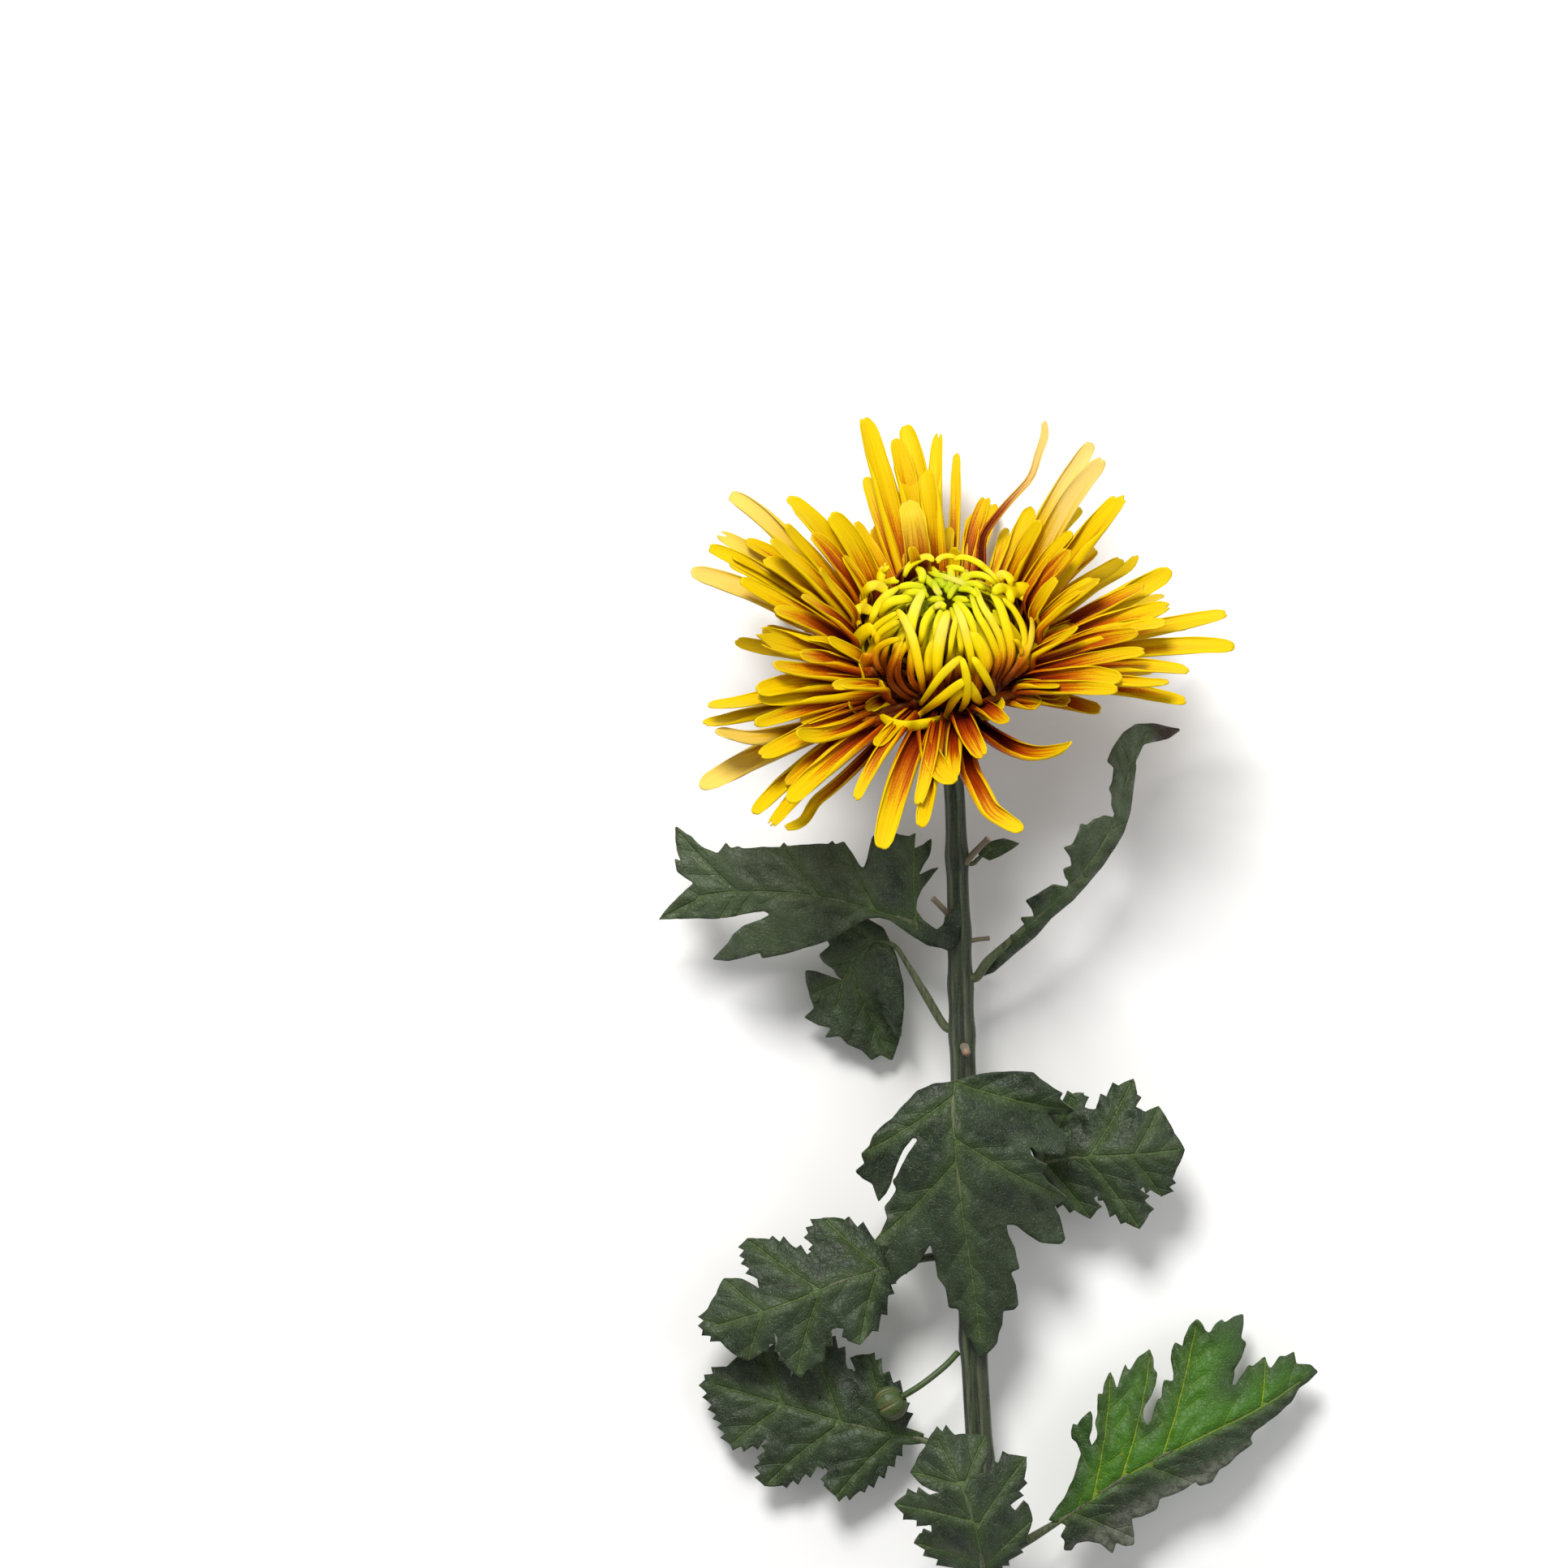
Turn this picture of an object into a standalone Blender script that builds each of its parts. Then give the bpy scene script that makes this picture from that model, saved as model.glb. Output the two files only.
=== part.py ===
"""Spider chrysanthemum: one cut stem with its bloom, leaves and a side bud, lying on a flat surface.

The stem lies along Y with the bloom at +Y, and Z is up. Every size is in millimetres until a mesh
is made. Places are measured from the foot of the bloom: across is +X, along is +Y.
"""
import math
import random

import bmesh
import bpy
import numpy as np
from mathutils.geometry import delaunay_2d_cdt

MM = 0.001
NAME = "spider_chrysanthemum"

# The foot of the bloom above the surface, and the way the bloom faces
FOOT = np.array((-11.5, 157.35, 34.0))
AXIS = np.array((-0.03, 0.80, 0.60))
AXIS = AXIS / np.linalg.norm(AXIS)
ACROSS = np.cross((0.0, 0.6, -0.8), AXIS)
ACROSS = ACROSS / np.linalg.norm(ACROSS)
BACK = np.cross(AXIS, ACROSS)

# Stem
STEM_PATH = ((0.28, -7.5, 28.38), (1.4, -15.0, 23.4), (2.6, -22.0, 21.4), (3.3, -38.0, 20.0),
             (5.0, -92.0, 17.4), (7.0, -148.0, 14.8), (11.0, -214.0, 11.7), (16.0, -290.0, 8.1),
             (21.0, -385.0, 3.62))
STEM_RADII = (2.5, 2.4, 2.4, 2.5, 3.0, 3.1, 3.2, 3.3, 3.5)
STEM_RIDGES = 6
RIDGE_DEPTH = 0.07
NODE_SWELLING = 0.36
NODE_PLACES = (-39.0, -58.0, -71.0, -83.0, -101.0, -120.0, -139.0, -160.0, -190.0, -214.0,
               -245.0, -275.0, -305.0, -335.0, -362.0)

STEM_STATIONS = 30
SWELLING_LENGTH = 3.5

# Cut side shoots: place along the stem, direction, length outside the stem, radius
STUBS = ((-43.0, (0.75, 0.85, 0.45), 9.5, 0.75),
         (-57.0, (-0.75, 0.85, 0.35), 8.0, 0.7),
         (-86.0, (0.1, -0.25, 1.0), 4.0, 1.0),
         (-61.0, (0.9, 0.2, 0.2), 5.0, 0.55),
         (-305.0, (-0.8, 0.5, 0.3), 2.2, 0.9),
         (-335.0, (0.8, 0.5, 0.3), 2.0, 0.9))

# Side bud
BUD_PLACE = (-13.2, -175.4, 17.5)
BUD_RADIUS = 3.8
BUD_STALK_RADIUS = 0.8
BUD_STALK = ((3.7, -163.0, 14.8), (0.0, -166.5, 17.0), (-6.0, -171.0, 18.5), (-12.5, -175.0, 17.5))

# Foot of the bloom: profiles as (radius, height) along the bloom's axis
CALYX_PROFILE = ((3.4, -9.0), (6.8, -7.0), (9.4, -3.2), (10.4, 0.3), (9.3, 0.3), (7.7, -1.9))
CALYX_BOTTOM = -9.0
CALYX_FLOOR = -2.85
BRACTS = 9
BRACT_STATIONS = ((5.0, -8.2, 2.0), (9.0, -4.4, 4.6), (10.7, 0.0, 1.4))
BRACT_OUTER = 0.7
BRACT_INNER = 0.9
OUTER_CORE = ((7.3, -1.6), (9.0, 0.7), (12.2, 2.2), (12.4, 4.6), (9.4, 6.0))
OUTER_CORE_ENDS = (-2.5, 6.0)
INNER_CORE = ((6.2, 6.3), (9.5, 10.5), (11.0, 15.0), (9.5, 20.0), (5.0, 23.6))
INNER_CORE_ENDS = (6.3, 24.6)
TURNED_SIDES = 18

# The dome of inner petals: radius against height, which the outer petals stay outside
DOME_HEIGHTS = (6.5, 9.0, 11.0, 13.0, 16.0, 22.0, 25.0, 28.0, 31.0)
DOME_RADII = (6.0, 10.0, 14.5, 17.5, 19.8, 19.8, 17.8, 12.5, 0.0)
DOME_CLEARANCE = 1.8

# Petals
PETAL_THICKNESS = 1.1
PETAL_FACE = 0.35
PETAL_KEEL = 0.65
PETAL_ROOT_RADIUS = 5.0
PETAL_ROOT_HEIGHTS = (2.3, 4.7)
STEEP_RISE = 55.0
ROOT_RISES = (7.0, 52.0)
PETAL_FLOOR = -0.03
FLOOR_SOFTNESS = 5.0
PETAL_STATIONS = ((0.0, 0.42), (0.24, 0.66), (0.50, 0.94), (0.76, 1.0), (0.94, 0.84), (1.0, 0.5))
GOLDEN_ANGLE = math.radians(137.508)

# Outer petals that show from above: where the tip lies across and along from the foot, how far
# it reaches from the foot (below the foot when negative), width, and how much it bends back
OUTER_TIPS = (
    (-52.9, 50.3, 73.5, 4.4, 14), (-55.8, 40.5, 70.0, 4.0, 12), (-58.1, 36.9, 70.0, 4.0, 16),
    (-62.8, 30.0, 71.5, 4.6, 14), (-50.7, 28.2, 61.0, 4.2, 12), (-43.6, 37.8, 61.0, 4.2, 14),
    (-44.7, 33.8, 58.5, 4.4, 12), (-40.2, 41.6, 60.0, 3.4, 10), (-38.9, 49.0, 64.0, 4.2, 14),
    (-28.4, 45.2, 54.5, 4.2, 12), (-25.5, 34.7, 44.5, 3.4, 8), (-32.2, 30.9, 49.0, 3.4, 6),
    (-19.9, 70.0, -73.5, 5.0, 8), (-9.6, 68.4, -71.0, 4.6, 10), (-11.4, 59.7, -61.5, 4.6, 10),
    (-1.2, 66.6, -69.0, 3.6, 4), (3.3, 61.7, -65.0, 3.2, 12), (-9.4, 49.0, 50.5, 6.0, 16),
    (-4.7, 56.6, -57.0, 5.0, 10), (-19.5, 55.2, -59.5, 3.6, 12), (1.5, 42.7, -44.0, 3.4, 8),
    (-22.1, 43.6, -49.5, 3.4, 12), (24.6, 69.0, -73.6, 3.0, 4), (7.2, 46.0, -47.5, 4.2, 6),
    (15.4, 42.9, -47.0, 3.2, 10), (21.7, 48.0, -53.5, 4.2, 6), (23.4, 43.4, 50.0, 4.0, 8),
    (25.6, 43.4, -51.0, 3.6, 10), (36.7, 63.5, -74.0, 4.6, 6), (38.4, 58.4, 71.0, 5.0, 10),
    (30.9, 40.5, 52.0, 4.2, 12), (43.3, 49.4, 67.0, 6.2, 8), (47.9, 36.1, -61.5, 3.4, -6),
    (54.9, 31.0, 64.5, 5.4, 6), (54.7, 26.2, -62.0, 3.6, 8), (35.8, 29.1, 50.0, 4.0, 12),
    (37.5, 27.8, 52.0, 4.4, 10), (26.1, 29.1, 43.0, 3.2, -8), (54.2, 21.3, 62.5, 6.0, 14),
    (68.5, 20.3, 72.5, 5.0, 10), (52.7, 17.9, 62.0, 5.0, 12), (32.1, 16.0, 44.0, 3.6, 8),
    (69.7, 12.6, 74.0, 4.6, 16), (57.3, 6.3, 68.0, 5.0, 12), (52.5, 2.4, 66.0, 4.2, 10),
    (56.9, -1.5, 67.0, 3.6, 14), (46.9, 10.9, 60.0, 3.4, 8), (41.6, 3.6, 55.0, 4.6, 16),
    (26.8, 1.9, 40.0, 3.6, 12), (40.1, 1.7, 56.0, 3.6, 8), (20.3, 8.0, 31.0, 3.4, -24),
    (29.7, -13.4, 58.0, 4.6, -28), (16.6, -32.5, 64.0, 5.0, 22), (1.4, -21.1, 52.0, 5.0, 24),
    (0.9, -19.2, 47.0, 4.0, 26), (13.0, -2.7, 28.0, 3.4, 20), (-47.1, 14.2, 60.0, 5.0, 8),
    (-46.5, 0.8, 62.0, 4.2, 14), (-46.2, -1.0, 60.0, 5.0, 10), (-58.3, -3.2, 70.0, 4.6, 12),
    (-59.2, -7.2, 70.0, 4.6, 6), (-56.0, -8.2, 68.0, 5.0, -14), (-47.1, -7.2, 63.0, 3.6, 12),
    (-37.5, -9.9, 56.0, 4.2, 14), (-60.1, -22.0, 70.0, 6.0, 10), (-45.8, -15.3, 64.0, 5.0, 14),
    (-47.1, -28.2, 67.0, 5.0, 16), (-43.1, -31.4, 66.0, 3.4, 14), (-40.0, -32.7, 64.0, 3.0, -12),
    (-38.7, -25.1, 64.0, 6.0, 14), (-22.6, -24.7, 60.0, 3.6, 18), (-16.8, -37.2, 67.0, 5.4, 20),
    (-7.9, -26.0, 56.0, 3.4, 24), (-7.4, -31.4, 60.0, 4.2, 22), (-18.1, -12.6, 42.0, 3.4, 20),
    (-16.3, -4.8, 36.0, 3.6, -22), (-35.1, 5.3, 52.0, 3.6, -20), (-26.2, 2.1, 44.0, 4.6, 12),
    (-27.9, 2.6, 47.0, 3.4, 8), (-18.6, 10.2, 35.0, 4.2, -26), (-18.8, 16.4, 34.0, 4.0, -30),
    (-29.8, 13.6, 42.0, 3.6, 10), (-33.8, 14.6, 46.0, 3.2, 12))
UNDER_PETALS = 13
UNDER_RISES = (6.0, 22.0)
UNDER_START = 12.0
UNDER_SPAN = 156.0
MIDDLE_PETALS = 6
INNER_RINGS = ((0.0, 17), (0.3, 13), (0.6, 9), (0.88, 6))
INNER_THICKNESS = 1.0

# Corners of an inner petal's curve as (radius, height), in the outermost and the middle ring
INNER_OUTERMOST = ((6.0, 10.0), (17.0, 10.0), (26.0, 22.0), (12.0, 26.0))
INNER_MIDMOST = ((2.0, 18.0), (3.5, 21.0), (5.0, 27.5), (0.6, 27.8))

# Leaves
LEAF_THICKNESS = 0.7
LEAF_FLOOR = 1.0
LEAF_GRID = 9.5
RIB_POINTS = 40
RIB_SIDES = 4
RIB_DEPTH = 0.5
RIB_TAPER = 0.55

# A lobed leaf, one side: share of the length and of the width, from the blade's foot to its tip
LEAF_SIDE = ((0.0, 0.06), (0.10, 0.10), (0.16, 0.55), (0.24, 0.72), (0.32, 0.86), (0.38, 0.66),
             (0.40, 0.30), (0.48, 0.78), (0.58, 1.0), (0.64, 0.76), (0.71, 0.70), (0.68, 0.34),
             (0.78, 0.56), (0.86, 0.50), (0.90, 0.32), (0.96, 0.22), (1.0, 0.0))


# Leaves: stalk and midrib as (across, along, up from the surface), the slopes on the left and
# right of the midrib, the curl and wave of the edge, and an outline in plan or a width
LEAVES = {
    "leaf_upper_left": dict(
        stalk=((-0.3, -60.5, 19.5), (-4.5, -57.0, 22.5)),
        rib=((-7.0, -55.8, 24.5), (-14.0, -53.2, 27.5), (-30.0, -49.0, 30.5), (-48.0, -47.5, 28.5),
             (-64.0, -49.0, 22.5)),
        fold=(-0.16, -0.10), curl=-0.006, wave=0.5, thick=1.25,
        outline=((-4.6, -58.6), (-9.0, -57.6), (-12.0, -55.5), (-17.9, -54.2), (-23.9, -56.9),
                 (-26.5, -60.2), (-35.8, -62.2), (-45.8, -63.8), (-57.1, -64.8), (-53.7, -60.2),
                 (-49.8, -56.9), (-43.1, -53.5), (-55.7, -54.5), (-63.0, -54.5), (-71.0, -54.9),
                 (-65.7, -49.6), (-62.4, -46.3), (-65.0, -44.9), (-66.7, -40.9), (-66.3, -32.3),
                 (-57.1, -37.6), (-54.4, -36.3), (-40.5, -35.6), (-35.8, -36.3), (-30.5, -35.0),
                 (-25.2, -35.6), (-19.9, -40.9), (-18.6, -37.0), (-12.0, -33.6), (-7.3, -33.3),
                 (-9.3, -38.3), (-3.3, -35.0), (-6.0, -42.3), (-1.7, -41.6), (-6.0, -46.3),
                 (-7.3, -48.9), (-6.2, -52.9), (-4.2, -55.5))),
    "leaf_upper_right": dict(
        stalk=((8.2, -69.0, 19.7), (11.0, -65.0, 22.0)),
        rib=((13.5, -62.5, 24.0), (22.0, -54.5, 28.0), (32.0, -45.0, 31.0), (41.5, -31.0, 32.0),
             (45.0, -19.0, 29.0), (50.0, -8.5, 24.0), (58.0, -6.8, 20.0)),
        fold=(0.55, -0.9), curl=0.0, wave=0.0, thick=1.2,
        outline=((11.6, -63.0), (16.2, -58.9), (18.9, -54.1), (20.1, -50.2), (26.9, -46.1),
                 (31.2, -46.6), (29.1, -42.0), (29.3, -36.9), (33.7, -31.3), (39.0, -28.9),
                 (42.4, -29.4), (40.4, -22.1), (41.9, -16.3), (43.6, -11.5), (50.1, -6.1),
                 (54.5, -5.4), (59.8, -7.1), (55.0, -9.6), (49.5, -12.5), (46.8, -24.0),
                 (44.8, -32.8), (38.5, -43.4), (32.7, -48.8), (26.4, -54.6), (13.9, -64.2))),
    "leaf_hanging_left": dict(
        stalk=((0.4, -81.5, 17.0), (-4.5, -73.5, 17.5)),
        rib=((-8.0, -67.5, 18.0), (-13.0, -60.8, 18.2), (-19.5, -61.5, 17.0), (-24.5, -69.0, 14.0),
             (-27.0, -79.0, 9.5)),
        fold=(-0.12, -0.12), curl=-0.006, wave=0.4, thick=1.1,
        outline=((-7.0, -66.4), (-10.0, -60.6), (-12.4, -56.6), (-17.0, -54.8), (-23.0, -57.0),
                 (-26.5, -61.5), (-30.9, -63.6), (-34.4, -67.6), (-26.9, -68.1), (-34.0, -74.0),
                 (-34.6, -79.7), (-29.7, -84.5), (-23.8, -86.6), (-18.1, -90.3), (-12.8, -90.6),
                 (-10.2, -81.7), (-11.6, -74.0), (-14.6, -68.0), (-11.4, -65.4), (-8.8, -68.2))),
    "leaf_front": dict(
        stalk=((4.9, -104.0, 21.2), (4.2, -99.5, 27.0), (3.0, -95.8, 31.0)),
        rib=((2.2, -94.6, 32.4), (2.0, -106.0, 35.2), (4.0, -124.8, 33.0), (7.0, -144.0, 27.0),
             (9.5, -162.0, 20.5)),
        fold=(-0.22, -0.22), curl=-0.004, wave=0.7, thick=1.2,
        outline=((1.7, -93.4), (10.0, -92.0), (18.2, -92.3), (29.3, -97.9), (32.3, -101.9),
                 (30.9, -109.7), (22.9, -112.6), (25.5, -114.9), (30.7, -123.9), (30.2, -133.6),
                 (16.8, -130.0), (18.2, -141.3), (18.2, -151.7), (14.4, -151.7), (13.4, -160.2),
                 (9.7, -163.5), (5.4, -157.9), (4.0, -151.3), (1.2, -150.3), (-2.1, -139.0),
                 (-3.5, -134.7), (-13.4, -145.4), (-17.9, -135.0), (-17.7, -120.1), (-9.2, -113.5),
                 (-6.2, -108.0), (-12.6, -113.6), (-20.5, -112.1), (-15.8, -104.5), (-6.8, -97.0))),
    "leaf_middle_right": dict(
        stalk=((9.8, -120.5, 15.5), (15.0, -118.0, 17.5)),
        rib=((19.0, -116.5, 18.8), (32.0, -114.0, 20.5), (46.0, -113.0, 23.5), (60.0, -112.0, 20.0)),
        fold=(-0.3, -0.35), curl=0.0, wave=0.6, thick=1.1, width=18.0, seed=3),
    "leaf_middle_left": dict(
        stalk=((2.6, -139.5, 14.5), (-3.0, -139.0, 16.5)),
        rib=((-8.0, -140.0, 18.0), (-24.0, -144.0, 23.0), (-42.0, -151.0, 24.0),
             (-60.0, -157.0, 18.0)),
        fold=(-0.15, -0.5), curl=0.0, wave=0.6, thick=1.1, width=18.0, seed=8),
    "leaf_lower_right": dict(
        stalk=((14.6, -214.0, 12.5), (22.0, -209.5, 14.0)),
        rib=((28.0, -205.8, 15.0), (34.1, -201.6, 16.5), (47.2, -192.4, 18.5), (64.2, -183.7, 18.0),
             (79.7, -176.4, 15.0), (92.5, -168.5, 10.5)),
        fold=(-0.14, -0.3), curl=-0.002, wave=0.7, thick=1.2,
        outline=((26.8, -205.0), (29.8, -200.6), (36.0, -186.6), (36.6, -177.6), (41.7, -167.9),
                 (45.5, -166.2), (50.6, -180.8), (52.1, -162.8), (57.9, -160.9), (63.5, -154.8),
                 (69.5, -155.3), (75.3, -154.3), (72.4, -171.6), (80.7, -164.5), (88.0, -163.3),
                 (94.0, -168.2), (87.0, -175.9), (77.3, -183.2), (68.6, -191.4), (63.7, -196.3),
                 (53.8, -201.1), (48.0, -209.8), (42.9, -210.8), (34.6, -212.3), (30.8, -208.2))),
    "leaf_lower_left": dict(
        stalk=((5.4, -190.0, 11.6), (0.0, -187.0, 11.6)),
        rib=((-5.0, -185.0, 11.5), (-20.0, -182.0, 12.5), (-38.0, -177.0, 11.0),
             (-60.0, -171.0, 6.5)),
        fold=(-0.12, -0.08), curl=0.0, wave=0.6, thick=1.1, width=21.0, seed=14),
    "leaf_top": dict(
        stalk=((12.0, -229.0, 14.9), (11.0, -224.0, 22.0)),
        rib=((10.0, -219.0, 29.0), (8.0, -207.0, 38.0), (4.0, -194.0, 42.0), (-3.0, -180.0, 38.0)),
        fold=(-0.5, -0.5), curl=0.0, wave=0.6, thick=1.1, width=17.0, seed=33),
    "leaf_low_right": dict(
        stalk=((17.2, -245.0, 9.5), (24.0, -242.5, 10.5)),
        rib=((30.0, -242.0, 12.5), (46.0, -242.0, 17.0), (62.0, -247.0, 17.0),
             (79.0, -257.0, 11.0)),
        fold=(-0.2, -0.12), curl=0.0, wave=0.6, thick=1.1, width=20.0, seed=21),
    "leaf_low_left": dict(
        stalk=((11.2, -275.2, 8.2), (4.0, -273.0, 7.0)),
        rib=((-2.0, -273.0, 6.4), (-16.0, -276.0, 5.4), (-32.0, -284.0, 4.2),
             (-48.0, -297.0, 2.6)),
        fold=(0.0, 0.08), curl=0.0, wave=0.5, thick=1.0, width=18.0, seed=27),
    "bract_leaf": dict(
        stalk=((7.3, -40.8, 19.3), (8.4, -39.8, 19.4)),
        rib=((9.0, -39.2, 19.5), (12.5, -37.2, 19.8), (18.0, -36.0, 19.4)),
        fold=(0.2, -0.2), curl=0.0, wave=0.0, thick=0.6,
        outline=((8.6, -38.4), (11.4, -35.4), (14.8, -34.6), (18.8, -35.8), (15.0, -38.4),
                 (11.4, -40.0))),
}


def unit(vector):
    return vector / np.linalg.norm(vector)


def spline(points, count):
    """Points evenly spread in parameter on a smooth curve through the given ones."""
    knots = np.array(points, dtype=float)
    knots = np.vstack((2 * knots[0] - knots[1], knots, 2 * knots[-1] - knots[-2]))
    result = []
    for place in np.linspace(0.0, len(points) - 1.0, count):
        index = min(int(place), len(points) - 2)
        t = place - index
        a, b, c, d = knots[index:index + 4]
        result.append(0.5 * (2 * b + (c - a) * t + (2 * a - 5 * b + 4 * c - d) * t ** 2
                             + (3 * b - a - 3 * c + d) * t ** 3))
    return np.array(result)


def bezier(a, b, c, d, t):
    return a * (1 - t) ** 3 + 3 * b * t * (1 - t) ** 2 + 3 * c * t ** 2 * (1 - t) + d * t ** 3


def lifted(height, lowest, softness=FLOOR_SOFTNESS):
    """The height, bent smoothly so that it never goes below the lowest one."""
    over = height - lowest
    return lowest + 0.5 * (over + math.sqrt(over * over + softness * softness))


def outward(azimuth):
    """The direction away from the bloom's axis at an angle round it."""
    return ACROSS * math.cos(azimuth) + BACK * math.sin(azimuth)


def bloom_point(radius, azimuth, height):
    """A point by its distance from the bloom's axis, its angle round it and its height along it."""
    return FOOT + outward(azimuth) * radius + AXIS * height


def bloom_direction(azimuth, rise):
    """A direction by its angle round the bloom's axis and its rise towards the axis."""
    return outward(azimuth) * math.cos(rise) + AXIS * math.sin(rise)


def on_surface(point):
    """A point given across and along from the foot, and up from the surface."""
    return np.array((FOOT[0] + point[0], FOOT[1] + point[1], point[2]))


def crosswise(along):
    """Two directions square to a given one and to each other, the first one level."""
    right = unit(np.cross(along, (0.0, 0.0, 1.0)))
    return right, np.cross(right, along)


def outside_dome(point):
    """The point, moved out from the bloom's axis where it would lie in the dome."""
    height = float(np.dot(point - FOOT, AXIS))
    radial = point - FOOT - AXIS * height
    radius = float(np.linalg.norm(radial))
    if height < DOME_HEIGHTS[0] or height > DOME_HEIGHTS[-1]:
        return point
    least = float(np.interp(height, DOME_HEIGHTS, DOME_RADII)) + DOME_CLEARANCE
    if radius >= least:
        return point
    return point + radial / radius * (least - radius)


def new_object(name, mesh, collection):
    made = bpy.data.objects.new(name, mesh)
    collection.objects.link(made)
    return made


def mesh_from_bmesh(name, shape):
    bmesh.ops.recalc_face_normals(shape, faces=shape.faces)
    mesh = bpy.data.meshes.new(name)
    shape.to_mesh(mesh)
    shape.free()
    return mesh


def loft(name, rings, collection):
    """A closed body through rings of equally many points, given in millimetres."""
    shape = bmesh.new()
    rows = [[shape.verts.new(point * MM) for point in ring] for ring in rings]
    count = len(rows[0])
    for lower, upper in zip(rows, rows[1:]):
        for index in range(count):
            after = (index + 1) % count
            shape.faces.new((lower[index], lower[after], upper[after]))
            shape.faces.new((lower[index], upper[after], upper[index]))
    shape.faces.new(list(reversed(rows[0])))
    shape.faces.new(rows[-1])
    bmesh.ops.triangulate(shape, faces=[face for face in shape.faces if len(face.verts) > 3])
    return new_object(name, mesh_from_bmesh(name, shape), collection)


def tube(name, path, radii, sides, collection):
    """A tube along a path of points, with a radius at each."""
    rings = []
    for index, (centre, radius) in enumerate(zip(path, radii)):
        before = path[max(index - 1, 0)]
        after = path[min(index + 1, len(path) - 1)]
        right, up = crosswise(unit(after - before))
        angles = [2 * math.pi * i / sides for i in range(sides)]
        rings.append([centre + (right * math.cos(a) + up * math.sin(a)) * radius for a in angles])
    return loft(name, rings, collection)


def turned(name, profile, ends, collection):
    """A body turned round the bloom's axis, closed at both ends on the axis."""
    shape = bmesh.new()
    rows = []
    for radius, height in profile:
        rows.append([shape.verts.new(bloom_point(radius, 2 * math.pi * i / TURNED_SIDES, height) * MM)
                     for i in range(TURNED_SIDES)])
    for lower, upper in zip(rows, rows[1:]):
        for index in range(TURNED_SIDES):
            after = (index + 1) % TURNED_SIDES
            shape.faces.new((lower[index], lower[after], upper[after], upper[index]))
    for row, height in ((rows[0], ends[0]), (rows[-1], ends[1])):
        centre = shape.verts.new(bloom_point(0.0, 0.0, height) * MM)
        for index in range(TURNED_SIDES):
            shape.faces.new((row[index], row[(index + 1) % TURNED_SIDES], centre))
    return new_object(name, mesh_from_bmesh(name, shape), collection)


def outer_body_only(mesh):
    """Keeps the mesh's largest closed body, so that sealed hollows are filled and scraps dropped."""
    shape = bmesh.new()
    shape.from_mesh(mesh)
    bmesh.ops.triangulate(shape, faces=shape.faces)
    left = set(shape.verts)
    islands = []
    while left:
        stack = [left.pop()]
        island = set(stack)
        while stack:
            for edge in stack.pop().link_edges:
                for vertex in edge.verts:
                    if vertex in left:
                        left.remove(vertex)
                        island.add(vertex)
                        stack.append(vertex)
        islands.append(island)
    largest = max(islands, key=len)
    for island in islands:
        if island is not largest:
            bmesh.ops.delete(shape, geom=list(island), context="VERTS")
    shape.to_mesh(mesh)
    shape.free()


def fused(body, others):
    """One Boolean union of the body with every object of a collection, which is then removed."""
    join = body.modifiers.new("join", "BOOLEAN")
    join.operation = "UNION"
    join.operand_type = "COLLECTION"
    join.collection = others
    join.solver = "MANIFOLD"
    graph = bpy.context.evaluated_depsgraph_get()
    mesh = bpy.data.meshes.new_from_object(body.evaluated_get(graph))
    body.modifiers.clear()
    body.data = mesh
    for other in list(others.objects):
        bpy.data.objects.remove(other)
    outer_body_only(mesh)


def material(name, colour, roughness):
    made = bpy.data.materials.new(name)
    made.use_nodes = True
    shader = made.node_tree.nodes["Principled BSDF"]
    shader.inputs["Base Color"].default_value = (*colour, 1.0)
    shader.inputs["Roughness"].default_value = roughness
    shader.inputs["Metallic"].default_value = 0.0
    return made


def petal(name, path, out, width, thickness, twist, collection):
    """A keeled blade along a path of six points, its upper face towards the bloom's axis."""
    tangents = np.gradient(path, axis=0)
    rings = []
    for point, tangent, (_, share) in zip(path, tangents, PETAL_STATIONS):
        along = unit(tangent)
        upper = AXIS * np.dot(along, out) - out * np.dot(along, AXIS)
        upper = unit(upper - along * np.dot(upper, along))
        side = np.cross(along, upper)
        side, upper = (side * math.cos(twist) + upper * math.sin(twist),
                       upper * math.cos(twist) - side * math.sin(twist))
        half = 0.5 * width * share
        rings.append((point + side * half + upper * PETAL_FACE * thickness,
                      point - side * half + upper * PETAL_FACE * thickness,
                      point - upper * PETAL_KEEL * thickness))
    return loft(name, rings, collection)


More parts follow.
